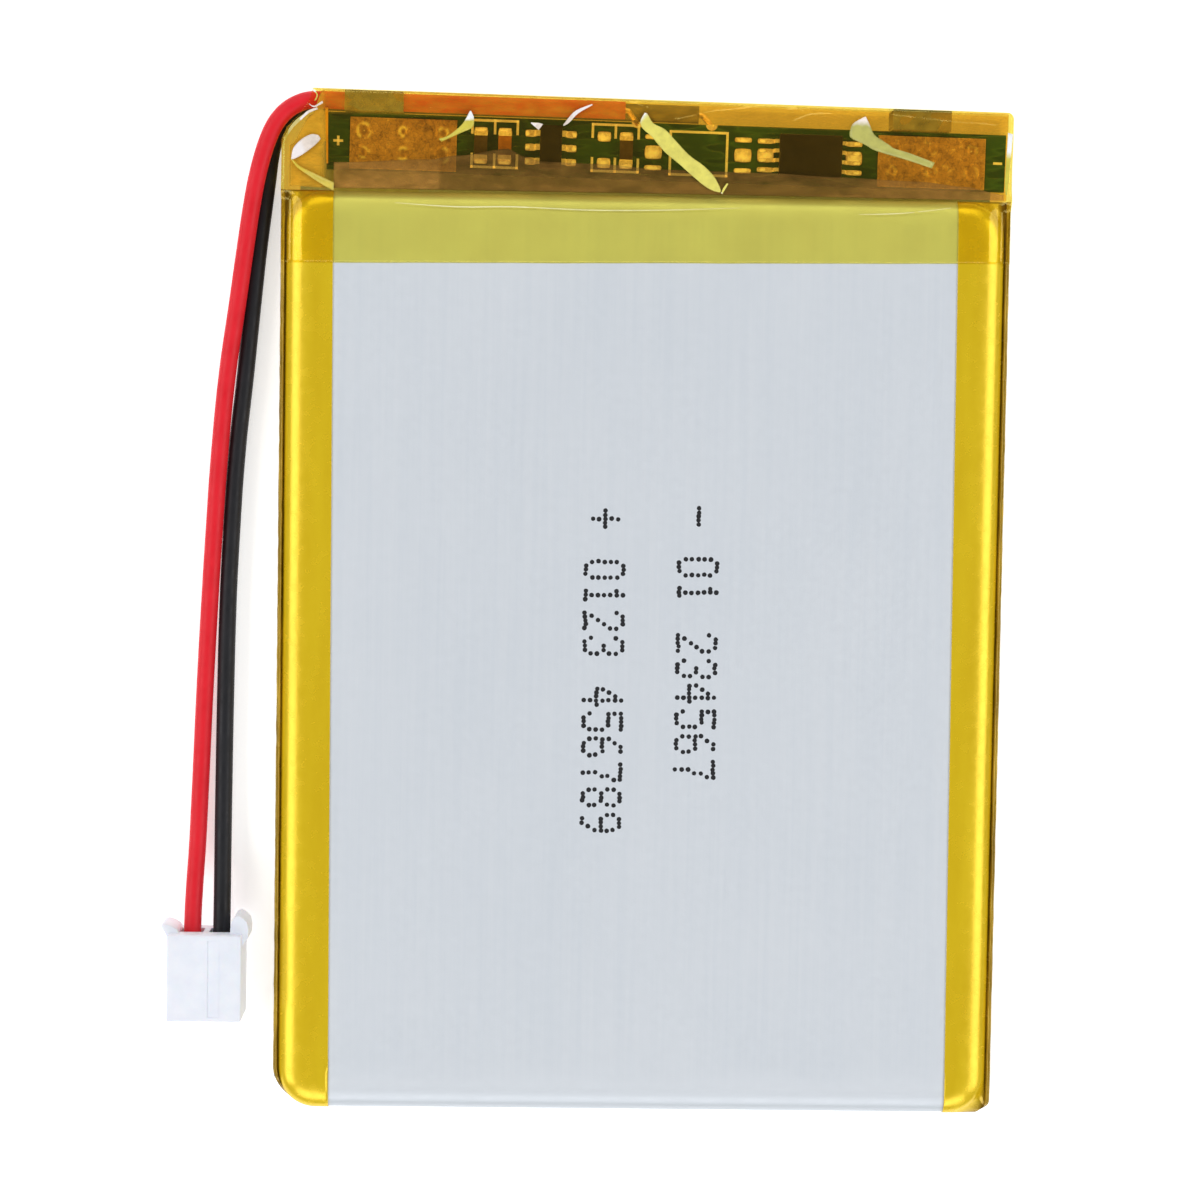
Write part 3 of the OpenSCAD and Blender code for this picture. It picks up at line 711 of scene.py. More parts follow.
def tape_top(inset, x, y):
    """Height of a side tape's upper face, at an inset from the pocket's outline."""
    from_edge = abs(x) - tape_edge(math.copysign(1, x), y)
    soft = smoothstep(0, 0.8, from_edge)
    width = lerp(SHOULDER_W, TAPE_W, soft)
    share = min(max(width - inset, 0) / (width + 0.04), 0.978)
    drop = lerp(SHOULDER, SHOULDER + 0.09, soft) * (1 - math.sqrt(1 - share ** 2))
    return face_height(x, y) + 0.015 + TAPE_T + 0.06 * soft - drop


def outer_profile(turned_in, reach):
    """Points of the tape from the groove beside the pocket round to the back, as (inset, height).

    turned_in runs from 0 along the straight side to 1 at the cell's rounded end, where there
    is no folded seal and the tape lies on the pocket's own wall.
    """
    groove_z = lerp(1.7, 1.3, turned_in)
    rim_z = lerp(2.08, 1.1, turned_in)
    straight = [(0.34, groove_z + 0.02), (0.31, groove_z), (0.27, rim_z - 0.1), (0.24, rim_z),
                (0.14, rim_z + 0.05), (0.04, rim_z + 0.02), (0.005, rim_z - 0.08), (0.0, 0.7), (0.0, 0.12),
                (0.05, 0.01)]
    rounded = [(-0.045, 1.4), (-0.05, groove_z), (-0.05, 1.2), (-0.05, rim_z),
               (-0.05, 1.05), (-0.05, 1.0), (-0.05, 0.9), (-0.05, 0.7), (-0.05, 0.12),
               (0.0, 0.01)]
    side = [(lerp(a, c, turned_in), lerp(b, d, turned_in)) for (a, b), (c, d) in zip(straight, rounded)]
    return side + [(0.6, 0.0), (1.8, 0.0), (reach, 0.0)]


def corner_point(inset, radius, edge, angle):
    """A point at an inset from a rounded lower corner whose straight side runs at x = edge."""
    r = max(radius - inset, 0)
    hub = max(radius, inset)
    return edge - hub + r * math.cos(angle), -half_l + hub - r * math.sin(angle)


def tape_stations(round_r):
    """Places along a tape: down the side, round the lower corner and a little way along the end."""
    ys = spread(-half_l + round_r, pocket_y - CORNER, 0.4)[:-1] + spread(pocket_y - CORNER, pocket_y, 0.12)
    arc_steps = 16
    stations = [("side", y) for y in reversed(ys)]
    stations += [("arc", k / arc_steps) for k in range(1, arc_steps + 1)]
    stations += [("end", t) for t in (0.3, 0.65, 1.0)]
    return stations


def face_insets(widest):
    """Insets of a tape's points on the face, from its inner edge to the shoulder's foot."""
    flat = [lerp(widest, min(TAPE_W, widest), share) for share in (0, 0.02, 0.3, 0.7)]
    last = math.sin(math.radians(78))
    shoulder = [TAPE_W * (1 - math.sin(math.radians(6 * k)) / last) for k in range(14)]
    return [min(inset, widest) for inset in flat + shoulder]


def make_side_tape(name, side, material, node):
    """One side tape; the left one rounds its lower corner, the right one has a sharp fold there."""
    b = Build()
    round_r = CORNER + FOLD
    fold_r = round_r if side < 0 else 1.0
    rows, rim = [], []
    for kind, t in tape_stations(round_r):
        turned_in = 0 if kind == "side" else smoothstep(0.1, 1.0, t) if kind == "arc" else 1
        angle = math.radians(90 * t) if kind == "arc" else math.radians(90)
        up = max(t - (pocket_y - CORNER), 0) if kind == "side" else 0
        narrow = CORNER - math.sqrt(max(CORNER ** 2 - up ** 2, 0))
        inner = tape_edge(side, t if kind == "side" else -half_l)
        widest = wall_x - narrow - inner
        row = []
        for inset in face_insets(widest):
            if kind == "side":
                x, y = wall_x - narrow - inset, t
                inset = min(inset, pocket_y - t)
                if up:
                    inset = CORNER - math.hypot(max(x - (wall_x - CORNER), 0), up)
            else:
                x, y = corner_point(inset, CORNER, wall_x, angle)
                if kind == "end":
                    x = lerp(x, inner, t)
            row.append((side * x, y, tape_top(inset, side * x, y)))
            rim.append(0.0)
        for k, (inset, z) in enumerate(outer_profile(turned_in, half_w - inner)):
            if kind == "side":
                x, y = half_w - inset, t
            else:
                x, y = corner_point(inset, fold_r, half_w, angle)
                if kind == "end":
                    x = lerp(x, inner, t)
            if k < 9:
                x += 0.03 * waves(k * 0.4, y, 0.9, side + 1) * (1 - turned_in)
                z += 0.03 * waves(k * 0.4, y, 0.8, side + 2) * (1 - turned_in)
            row.append((side * x, y, max(z, 0.0)))
            # The rim mark runs from the groove over the folded seal; its brown is partly the tape's colour
            # there and partly painted shade in the groove
            rim.append(1.0 if k < 11 else 0.0)
        rows.append(row)
    b.grid(rows)
    b.marks["rim"] = rim
    thicken(b.piece(name, material, "side_tape", [node], sharp=60), TAPE_SHEET_T)


# ---- ink ----

# Dots of each sign on a grid 5 wide and 7 high, one string of column numbers for each row
GLYPHS = {
    "+": ["", "2", "2", "01234", "2", "2", ""],
    "-": ["", "", "", "01234", "", "", ""],
    "0": ["123", "04", "04", "04", "04", "04", "123"],
    "1": ["2", "12", "2", "2", "2", "2", "123"],
    "2": ["123", "04", "4", "3", "2", "1", "01234"],
    "3": ["123", "04", "4", "23", "4", "04", "123"],
    "4": ["3", "23", "13", "03", "01234", "3", "3"],
    "5": ["01234", "0", "0123", "4", "4", "04", "123"],
    "6": ["23", "1", "0", "0123", "04", "04", "123"],
    "7": ["01234", "4", "3", "3", "2", "2", "2"],
    "8": ["123", "04", "04", "123", "04", "04", "123"],
    "9": ["123", "04", "04", "1234", "4", "3", "12"],
}
DOT_ROW = 0.43
DOT_COLUMN = 0.27
DOT_R = 0.165
CELL = 1.75


def make_ink(material):
    """Dot-printed signs and plain counting digits, reading down the face."""
    rng = random.Random(4)
    b = Build()
    for text, middle_x, start_y in (("- 01 234567", 3.9, 6.92), ("+ 0123 456789", -2.52, 6.65)):
        for place, sign in enumerate(text):
            for row, columns in enumerate(GLYPHS.get(sign, [])):
                for column in columns:
                    x = middle_x + (3 - row) * DOT_ROW + rng.gauss(0, 0.02)
                    y = start_y - place * CELL - int(column) * DOT_COLUMN + rng.gauss(0, 0.02)
                    r = DOT_R * rng.uniform(0.92, 1.06)
                    add_dot(b, x, y, r, rng)
    b.piece("ink_marks", material, "package", sharp=30)


def add_dot(b, x, y, r, rng):
    """One slightly ragged dot of ink on the face."""
    sides = 14
    shape = [1 + 0.05 * rng.uniform(-1, 1) for _ in range(sides)]

    def ring(grow, lift):
        return [(x + r * grow * shape[k] * math.cos(math.tau * k / sides),
                 y + r * grow * shape[k] * math.sin(math.tau * k / sides),
                 face_height(x, y) + lift) for k in range(sides)]
    first = b.grid([ring(1, 0.0), ring(1, 0.006), ring(0.85, 0.01)], closed=True)
    b.cap(first, sides)
    b.cap(first + 2 * sides, sides)


# ---- board ----

def pillow(b, low, high, bulge):
    """A pad of solder: a block whose top is a rounded pillow."""
    cells = 8
    cx, cy = (low.x + high.x) / 2, (low.y + high.y) / 2
    hx, hy = (high.x - low.x) / 2, (high.y - low.y) / 2
    glint = b.marks.setdefault("glint", [])
    rows = []
    for j in range(cells + 1):
        v = -math.cos(math.pi * j / cells)
        row = []
        for i in range(cells + 1):
            u = -math.cos(math.pi * i / cells)
            squash = 1 - 0.12 * (u * u * v * v)
            rise = max(0.0, (1 - u ** 4) * (1 - v ** 4)) ** 0.5
            # Painted highlight: the crest is marked brightest a little off its middle
            glint.append(rise * (1 - 0.5 * min(1, math.hypot(u + 0.15, v + 0.2))))
            row.append((cx + u * hx * squash, cy + v * hy * squash, high.z - 0.005 + bulge * rise))
        rows.append(row)
    first = b.grid(rows)
    width = cells + 1
    rim = ([first + i for i in range(width)]
           + [first + j * width + cells for j in range(1, width)]
           + [first + cells * width + i for i in range(cells - 1, -1, -1)]
           + [first + j * width for j in range(cells - 1, 0, -1)])
    base = len(b.verts)
    b.verts.extend((b.verts[k][0], b.verts[k][1], low.z) for k in rim)
    glint.extend(0.0 for k in rim)
    n = len(rim)
    for k in range(n):
        m = (k + 1) % n
        b.faces.append((rim[k], rim[m], base + m, base + k))
    b.cap(base, n)


def make_solder_pads(material):
    b = Build()
    for low, high in islands("solder_pads", straight=True):
        pillow(b, low, high, 0.07)
    b.piece("pad_solder", material, "pad", ["solder_pads"], sharp=60, askew=True)


def make_fillets(material):
    b = Build()
    for low, high in islands("solder_fillets", straight=True):
        low = Vector((low.x - 0.02, low.y - 0.02, low.z - 0.01))
        high = Vector((high.x + 0.02, high.y + 0.02, low.z + 0.06))
        pillow(b, low, high, 0.09)
    b.piece("joint_solder", material, "solder", ["solder_fillets"], sharp=60, askew=True)


def make_terminal_pads(material):
    """Large pads with crumbly reflowed solder and a dimple at each filled hole, marked for a painted
    highlight on each dimple's rim and painted shade in it.
    """
    b = Build()
    holes = [((low.x + high.x) / 2, (low.y + high.y) / 2)
             for low, high in islands("via_plugs", straight=True)]
    pads = [pair for pair in islands("terminal_pads", straight=True) if pair[1].x - pair[0].x > 2]
    rings, hollows = [], []
    for low, high in pads:
        middle = (low.x + high.x) / 2
        near = [h for h in holes if abs(h[0] - middle) < 4]
        xs, ys = spread(low.x, high.x, 0.07), spread(low.y, high.y, 0.07)
        rows = []
        for y in ys:
            row = []
            for x in xs:
                patch = smoothstep(-0.1, 0.35, waves(x, y, 1.4, 3 if middle < 0 else 9))
                rough = 0.05 * patch * (0.5 + waves(x, y, 0.28, 4)) + 0.02 * patch * waves(x, y, 0.12, 5)
                z = high.z + 0.01 + rough + 0.01 * waves(x, y, 1.1, 6)
                ring = hollow = 0.0
                for k, (hx, hy) in enumerate(near):
                    d = math.hypot((x - hx) * 1.15, y - hy)
                    size = 0.4 + 0.09 * ((k * 5) % 3 - 1)
                    z += 0.05 * math.exp(-((d - size) / 0.12) ** 2)
                    z -= 0.04 * math.exp(-(d / (size * 0.7)) ** 2)
                    # Painted highlight on broken arcs of each dimple's rim, and painted shade in the dimple,
                    # stronger on the left pad
                    arc = smoothstep(-0.15, 0.25, waves(x * 1.3 + k * 3, y * 1.3, 0.7, 71))
                    ring = max(ring, arc * math.exp(-((d - size) / 0.1) ** 2))
                    hollow = max(hollow, math.exp(-(d / (size * 0.75)) ** 4))
                strong = 1.0 if middle < 0 else 0.35
                rings.append(min(1.0, ring) * strong)
                hollows.append(hollow * strong * 0.6)
                row.append((x, y, max(z, low.z + 0.02)))
            rows.append(row)
        b.grid(rows)
    b.marks["ring"] = rings
    b.marks["hollow"] = hollows
    pad = b.piece("terminal_solder", material, "terminal_pad", ["terminal_pads"], sharp=80, askew=True)
    thicken(pad, SOLDER_T)


def bevelled_boxes(name, node, radius, material):
    """The blocks of a node on the board, with rounded edges."""
    mesh = bmesh.new()
    for low, high in islands(node, straight=True):
        add_box(mesh, low * MM, high * MM)
    bevel(mesh, radius * MM, 3)
    for v in mesh.verts:
        x, y = turned(v.co.x / MM, v.co.y / MM)
        v.co.x, v.co.y = x * MM, y * MM
    data = bpy.data.meshes.new(name)
    mesh.to_mesh(data)
    mesh.free()
    finish_piece(name, data, material, [node], sharp=40)


def make_silkscreen(material):
    """Printed outlines round the chips' places, and the two polarity signs."""
    b = Build()
    z0, z1 = board_high.z - 0.005, board_high.z + 0.02
    line = 0.17

    def stroke(x0, y0, x1, y1):
        h = line / 2
        b.block((min(x0, x1) - h, min(y0, y1) - h, z0), (max(x0, x1) + h, max(y0, y1) + h, z1))

    low_y, high_y, tick = board_low.y + 0.5, board_high.y - 0.23, 0.85
    for x0, x1 in ((-12.0, -8.9), (-3.75, -0.6)):
        middle = (x0 + x1) / 2
        for y, way in ((low_y, 1), (high_y, -1)):
            stroke(x0, y, x1, y)
            for x in (x0, middle, x1):
                stroke(x, y, x, y + way * tick)
    x0, x1, y0, y1 = 1.6, 5.5, low_y - 0.05, high_y - 0.3
    for a in ((x0, y0, x1, y0), (x1, y0, x1, y1), (x1, y1, x0, y1), (x0, y1, x0, y0)):
        stroke(*a)
    plus_x, minus_x, sign_y = board_low.x + 0.75, board_high.x - 0.5, (board_low.y + board_high.y) / 2
    stroke(plus_x - 0.25, sign_y, plus_x + 0.25, sign_y)
    stroke(plus_x, sign_y - 0.25, plus_x, sign_y + 0.25)
    stroke(minus_x - 0.25, sign_y, minus_x + 0.2, sign_y)
    b.piece("silkscreen", material, "board", sharp=30, askew=True)


# ---- end tape ----

# Sharp wrinkles in the clear tape: the points of each one, its half width and its height
WRINKLES = [
    ([(-1.2, 34.4), (1.0, 33.8), (1.9, 33.3)], 0.1, 0.07),
    ([(1.9, 33.3), (4.3, 33.9), (7.0, 34.2)], 0.12, 0.08),
    ([(9.4, 34.1), (11.4, 34.3), (13.2, 34.2)], 0.12, 0.09),
    ([(9.8, 33.3), (10.9, 33.8), (12.3, 33.9)], 0.13, 0.1),
    ([(12.5, 33.9), (13.4, 33.5)], 0.12, 0.08),
    ([(7.1, 34.4), (7.8, 33.5)], 0.1, 0.07),
    ([(16.5, 33.9), (20.5, 33.5), (24.0, 33.3)], 0.12, 0.08),
    ([(-16.9, 33.75), (-12.0, 33.85), (-9.0, 33.7), (-6.2, 33.8)], 0.1, 0.06),
    ([(-8.2, 32.9), (-7.0, 33.1), (-4.2, 33.0), (-2.5, 33.0)], 0.09, 0.06),
    ([(4.5, 33.1), (9.0, 32.9), (13.4, 32.8)], 0.09, 0.06),
    ([(-21.0, 28.0), (-9.0, 27.7), (6.0, 27.6), (14.0, 27.4)], 0.09, 0.03),
    ([(-19.5, 27.6), (-8.0, 27.3), (-1.0, 27.35)], 0.09, 0.015),
    ([(14.0, 28.0), (18.0, 27.6), (21.0, 26.2)], 0.1, 0.02),
    ([(-14.5, 29.3), (-13.0, 28.9), (-11.5, 29.2)], 0.1, 0.06),
    ([(4.9, 28.4), (7.6, 28.75), (9.8, 28.6)], 0.1, 0.07),
    ([(16.1, 28.7), (20.7, 28.3), (24.4, 28.5)], 0.1, 0.06),
    ([(24.5, 28.6), (23.9, 27.7)], 0.1, 0.06),
    ([(-24.6, 31.6), (-23.9, 32.4), (-23.0, 32.9)], 0.1, 0.08),
    ([(-24.5, 29.2), (-23.3, 28.9), (-22.2, 28.3)], 0.1, 0.08),
]


def line_distance(x, y, a, b):
    """Distance of a point from the line between a and b."""
    dx, dy = b[0] - a[0], b[1] - a[1]
    t = min(max(((x - a[0]) * dx + (y - a[1]) * dy) / (dx * dx + dy * dy), 0), 1)
    return math.hypot(x - a[0] - t * dx, y - a[1] - t * dy)


def wrinkle_height(x, y):
    z = 0.0
    for points, width, height in WRINKLES:
        if not (min(p[0] for p in points) - 0.6 < x < max(p[0] for p in points) + 0.6):
            continue
        near = min(line_distance(x, y, a, b) for a, b in zip(points, points[1:]))
        z += height * math.exp(-(near / width) ** 2)
    return z


def end_y(x):
    """Outer edge of the taped board end."""
    return half_l - (x - PIVOT[0]) * math.sin(TURN)


RIM_TOP = 2.2            # clear tape over the side tapes' outer edge
CHIP_TOP = 2.7           # the same tape over the chips
LEAD_TOP = 2.82          # and over the leads
INNER_DROP = 0.12        # how far the amber tape lies under it
HAZE_DROP = 0.06         # and the hazy strip


def hug_height(x, y):
    """The clear tape where it lies on the face and the side tapes."""
    ax = abs(x)
    edge = tape_edge(math.copysign(1, x), y)
    z = lerp(face_height(x, y), tape_top(wall_x - ax, x, y), smoothstep(edge - 0.25, edge + 0.05, ax)) + 0.035
    return lerp(z, RIM_TOP, smoothstep(wall_x - 0.35, half_w - 0.1, ax))


def span_height(x, y):
    """The clear tape where it spans from the pocket, over the chips, to the leads."""
    along = y - pocket_y + (x - PIVOT[0]) * math.sin(TURN)
    sag = 0.1 * math.sin(math.pi * min(max((along - 0.3) / 5.0, 0), 1)) ** 2
    z = lerp(CHIP_TOP, LEAD_TOP, smoothstep(3.0, 5.2, along)) - sag
    return z + 0.012 * waves(x, y, 2.4, 11) + 0.012 * waves(x, y * 2, 1.2, 12)


def film_height(x, y):
    """The clear tape's height anywhere, with its wrinkles and its rounded outer edge."""
    across = smoothstep(pocket_y - 0.9, pocket_y + 0.1, y)
    z = lerp(hug_height(x, y), span_height(x, y), across) + wrinkle_height(x, y)
    edge = min(half_w - abs(x), end_y(x) - y)
    r = 0.3
    if y > pocket_y and edge < r:
        z -= (r - math.sqrt(max(0, r * r - (r - max(edge, 0)) ** 2))) * smoothstep(pocket_y, pocket_y + 1, y)
    return z


def left_edge(y):
    """The clear tape's left edge, which is cut back where the leads come out."""
    corner = [(31.6, -half_w + 0.02), (32.4, -24.6), (33.3, -23.7), (34.2, -23.1), (35.1, -22.85)]
    if y <= corner[0][0]:
        return corner[0][1]
    for (y0, x0), (y1, x1) in zip(corner, corner[1:]):
        if y <= y1:
            return lerp(x0, x1, (y - y0) / (y1 - y0))
    return corner[-1][1]


def right_edge(y):
    """The clear tape's right edge, with its small rounded outer corner."""
    r = 0.55
    past = max(y - (end_y(half_w) - r), 0)
    return half_w - 0.02 - (r - math.sqrt(max(r ** 2 - past ** 2, 0)))


def lap_edge(x):
    """The clear tape's lower edge on the face runs slightly askew."""
    return lap_y + 0.05 + 0.75 * (x + half_w) / (2 * half_w) + 0.02 * waves(x, 0, 3, 21)


def make_end_film(material):
    """The clear tape on top, with the skirt round its edge."""
    b = Build()
    near_side = [0, 0.002, 0.005, 0.009, 0.014, 0.02, 0.028]
    us = near_side + [lerp(0.034, 0.966, i / 330) for i in range(331)] + [1 - u for u in near_side[::-1]]
    lap_rows, span_rows = 14, 68
    bend = pocket_y - 1.0
    rows = []
    for j in range(lap_rows + span_rows + 1):
        row = []
        for u in us:
            x = lerp(-half_w + 0.02, half_w - 0.02, u)
            if j <= lap_rows:
                y = lerp(lap_edge(x), bend, j / lap_rows)
            else:
                t = (j - lap_rows) / span_rows
                y = lerp(bend, end_y(x) - 0.03, 1 - (1 - t) ** 1.25)
            x = lerp(left_edge(y), right_edge(y), u)
            row.append((x, y, film_height(x, y)))
        rows.append(row)
    top = b.grid(rows)
    width, height = len(us), len(rows)
    rim = ([top + j * width for j in range(height)]
           + [top + (height - 1) * width + i for i in range(1, width)]
           + [top + j * width + width - 1 for j in range(height - 2, -1, -1)])
    previous = rim
    for share in (0.9, 0.7, 0.45, 0.2, 0.0):
        ring = []
        for k in rim:
            x, y, z = b.verts[k]
            loose = smoothstep(31.9, 32.9, y) * (1 - smoothstep(-22.9, -22.6, x))
            foot = lerp(0.05, z - 0.12, loose)
            ripple = 0.02 * waves(x * 2 + y, share * 3, 1.0, 31) * share
            b.verts.append((x + ripple, y, lerp(foot, z, share)))
            ring.append(len(b.verts) - 1)
        for k in range(len(rim) - 1):
            b.faces.append((previous[k], previous[k + 1], ring[k + 1], ring[k]))
        previous = ring
    thicken(b.piece("end_film", material, "clear_tape", ["end_tape"], sharp=70), CLEAR_T)


def make_back_film(material):
    """The clear tape under the back."""
    side, length, width = half_w - 0.03, 24, 60
    b = Build()
    rows = []
    for j in range(length + 1):
        row = []
        for i in range(width + 1):
            y = lerp(lap_y, end_y(lerp(-side, side, i / width)) - 0.04, j / length)
            x = lerp(max(-side, left_edge(y)), side, i / width)
            row.append((x, y, 0.045 + 0.006 * waves(x, y, 2, 41)))
        rows.append(row)
    b.grid(rows)
    thicken(b.piece("back_film", material, "clear_tape", ["end_tape"]), CLEAR_T)


def film_sheet(name, outline_low, outline_high, height, haze, material, ny=20):
    """A thin sheet between two lines across the board end; its height and haze are by (x, y)."""
    nx = 220
    xs = [lerp(outline_low[0][0], outline_low[-1][0], i / nx) for i in range(nx + 1)]
    b = Build()
    rows = []
    for j in range(ny + 1):
        ys = [lerp(line_at(outline_low, x), line_at(outline_high, x), j / ny) for x in xs]
        rows.append([(x, y, height(x, y)) for x, y in zip(xs, ys)])
    b.grid(rows)
    b.marks["haze"] = [haze(x, y) for x, y, z in b.verts]
    thicken(b.piece(name, material, "clear_tape", sharp=60), FOLD_T)


def line_at(points, x):
    """Height of a line of (x, y) points, in order of x, at x."""
    for (x0, y0), (x1, y1) in zip(points, points[1:]):
        if x <= x1:
            t = min(max((x - x0) / (x1 - x0), 0), 1)
            return lerp(y0, y1, smoothstep(0, 1, t))
    return points[-1][1]


def inner_haze(x, y):
    """The amber tape is haziest over the leads and where it is crumpled at the left end."""
    past_board = smoothstep(board_high.y - 0.2, board_high.y + 0.15, straightened(x, y)[1])
    left_end = 1 - smoothstep(board_low.x - 0.5, board_low.x + 0.05, x)
    right_end = smoothstep(board_high.x - 0.05, board_high.x + 0.4, x)
    return max(0.008, 0.2 * past_board, 0.6 * left_end, 0.14 * right_end)


def band_haze(x, y):
    """The hazy strip is lighter at both ends, and fades out over the board."""
    along = y - pocket_y + (x - PIVOT[0]) * math.sin(TURN)
    left = 1 - smoothstep(-14.3, -14.05, x)
    right = smoothstep(13.0, 17.0, x)
    amount = 0.13 + 0.15 * left + 0.08 * right
    return amount * lerp(1.1, 0.75, smoothstep(0.4, 2.0, along)) + 0.05 * waves(x, y * 3, 2.6, 61)


def make_inner_film(material):
    """The amber tape under the clear one, over the board and the leads' foot."""
    low = [(-24.4, pocket_y + 0.2), (-21.3, pocket_y + 0.1), (0, pocket_y + 0.1), (24.6, pocket_y + 0.05)]
    high = [(-24.4, 31.2), (-22.9, 33.3), (-22.2, end_y(-22) - 0.12), (24.6, end_y(24.6) - 0.12)]
    film_sheet("inner_film", low, high, lambda x, y: span_height(x, y) - INNER_DROP, inner_haze, material)


def make_haze_film(material):
    """A strip of hazy film along the board's lower edge."""
    low = [(-21.4, pocket_y + 0.12), (0, pocket_y + 0.12), (24.4, pocket_y + 0.06)]
    high = [(-21.4, 30.1), (-15, 30.4), (-13, 30.7), (-9.6, 31.2), (-8.4, 30.7), (-7.3, 30.4),
            (-3.3, 30.3), (1, 30.0), (8, 29.9), (13, 29.7), (18.5, 29.5), (21.7, 29.2), (24.4, 28.7)]
    film_sheet("haze_film", low, high, lambda x, y: span_height(x, y) - HAZE_DROP, band_haze, material,
               ny=10)


# Folds and flakes of film that catch the light, laid on as thin sheets whose pale colours are painted
# highlights: name, material, lift, arch, and both edges from the tip
FOLDS = [
    ("fold_middle", "fold_film", 0.05, 0.08,
     [(-0.3, 33.8), (-0.6, 33.2), (-0.4, 32.7), (0.2, 32.2), (1.1, 31.2), (2.1, 30.4), (2.9, 29.7),
      (3.9, 28.9), (4.5, 28.6), (4.9, 28.5)],
     [(-0.3, 33.8), (-0.1, 33.7), (0.3, 33.1), (1.1, 32.7), (1.8, 32.0), (2.8, 31.0), (3.8, 30.3),
      (4.5, 29.6), (4.9, 28.9), (5.0, 28.6)]),
    ("fold_left", "fold_film_pale", 0.05, 0.08,
     [(-12.2, 33.7), (-12.5, 33.1), (-12.9, 32.6), (-13.7, 32.0), (-14.3, 31.8)],
     [(-12.1, 33.7), (-11.9, 33.2), (-12.0, 32.6), (-12.8, 32.2), (-14.1, 31.6)]),
    ("fold_right", "fold_film_green", 0.05, 0.08,
     [(14.7, 33.8), (13.9, 33.3), (13.7, 32.6), (13.9, 32.3), (14.8, 31.9), (15.6, 31.5), (17.8, 30.9),
      (19.4, 30.4)],
     [(14.8, 33.8), (15.1, 33.2), (15.4, 32.6), (16.0, 32.2), (16.5, 31.9), (16.8, 31.7), (17.9, 31.4),
      (19.6, 30.8)]),
    ("fold_speck", "fold_film", 0.05, 0.01,
     [(5.0, 28.45), (5.15, 28.8), (5.4, 29.15)],
     [(5.1, 28.4), (5.3, 28.75), (5.5, 29.1)]),
    ("flake_chip", "flake_film", 0.05, 0.01,
     [(-8.05, 32.95), (-7.75, 32.7), (-7.5, 32.5)],
     [(-8.0, 33.0), (-7.5, 32.98), (-7.2, 32.9)]),
    ("streak", "flake_film", 0.05, 0.01,
     [(-3.9, 34.32), (-5.0, 33.85), (-5.6, 33.2), (-5.85, 32.85)],
     [(-3.85, 34.25), (-4.85, 33.65), (-5.4, 33.05), (-5.8, 32.8)]),
    ("flake_corner", "flake_film", 0.05, 0.08,
     [(-24.3, 30.25), (-24.15, 31.0), (-23.6, 31.6), (-22.95, 31.95), (-22.45, 31.9)],
     [(-24.25, 30.2), (-23.8, 30.4), (-23.2, 30.8), (-22.6, 31.3), (-22.3, 31.65)]),
    ("fold_corner", "fold_film_yellow", 0.05, 0.08,
     [(-24.3, 30.2), (-23.9, 29.7), (-23.4, 29.35), (-22.4, 28.7), (-21.4, 28.15)],
     [(-24.2, 30.25), (-23.7, 29.8), (-22.9, 29.4), (-22.0, 29.0), (-21.35, 28.7)]),
    ("crease_exit", "flake_film", 0.05, 0.02,
     [(-23.75, 32.95), (-23.2, 33.5), (-22.55, 33.75)],
     [(-23.65, 32.85), (-23.1, 33.35), (-22.5, 33.62)]),
    ("crease_lead", "flake_film", 0.05, 0.02,
     [(-23.1, 34.0), (-22.75, 33.85), (-22.2, 34.2)],
     [(-23.05, 33.9), (-22.7, 33.75), (-22.15, 34.05)]),
    ("crease_edge", "fold_film_pale", 0.05, 0.02,
     [(-22.95, 34.95), (-22.6, 34.6), (-22.75, 34.2)],
     [(-22.8, 34.98), (-22.5, 34.6), (-22.65, 34.2)]),
    ("fold_end", "fold_film_pale", 0.05, 0.01,
     [(24.55, 32.9), (24.5, 31), (24.45, 29.5), (24.5, 28.7)],
     [(24.9, 32.8), (24.8, 31), (24.7, 29.5), (24.6, 28.7)]),
    ("fold_board", "fold_film_orange", -0.05, 0.01,
     [(-22.0, 33.75), (-21.95, 31.8), (-21.9, 30.0)],
     [(-21.8, 33.75), (-21.8, 31.8), (-21.78, 30.0)]),
    ("crease_lap", "crease_film", 0.012, 0.004,
     [(-17.2, 27.44), (-13, 27.26), (-9, 27.33), (-4, 27.2), (1, 27.28), (6.4, 27.5)],
     [(-17.2, 27.42), (-13, 27.19), (-9, 27.26), (-4, 27.12), (1, 27.21), (6.4, 27.48)]),
    ("crease_lap_right", "crease_film", 0.012, 0.004,
     [(14.5, 27.2), (17.5, 27.35), (20.8, 27.75)],
     [(14.5, 27.18), (17.5, 27.29), (20.8, 27.72)]),
]


def leaf(name, left, right, material, lift, arch):
    """A fold of film between two edges; its points are marked from 0 at its tip to 1 at its end."""
    b = Build()
    left, right = smooth_line(left), smooth_line(right)
    across = 8
    rows = []
    for a, c in zip(left, right):
        row = []
        for k in range(across + 1):
            t = k / across
            x, y = lerp(a[0], c[0], t), lerp(a[1], c[1], t)
            rise = arch * math.sin(math.pi * t) + 0.01 * waves(x, y, 0.35, 51)
            row.append((x, y, film_height(x, y) - wrinkle_height(x, y) + lift + rise))
        rows.append(row)
    b.grid(rows)
    b.marks["along"] = [i / (len(rows) - 1) for i in range(len(rows)) for k in range(across + 1)]
    thicken(b.piece(name, material, "clear_tape", sharp=60), FOLD_T)


# ---- plug ----

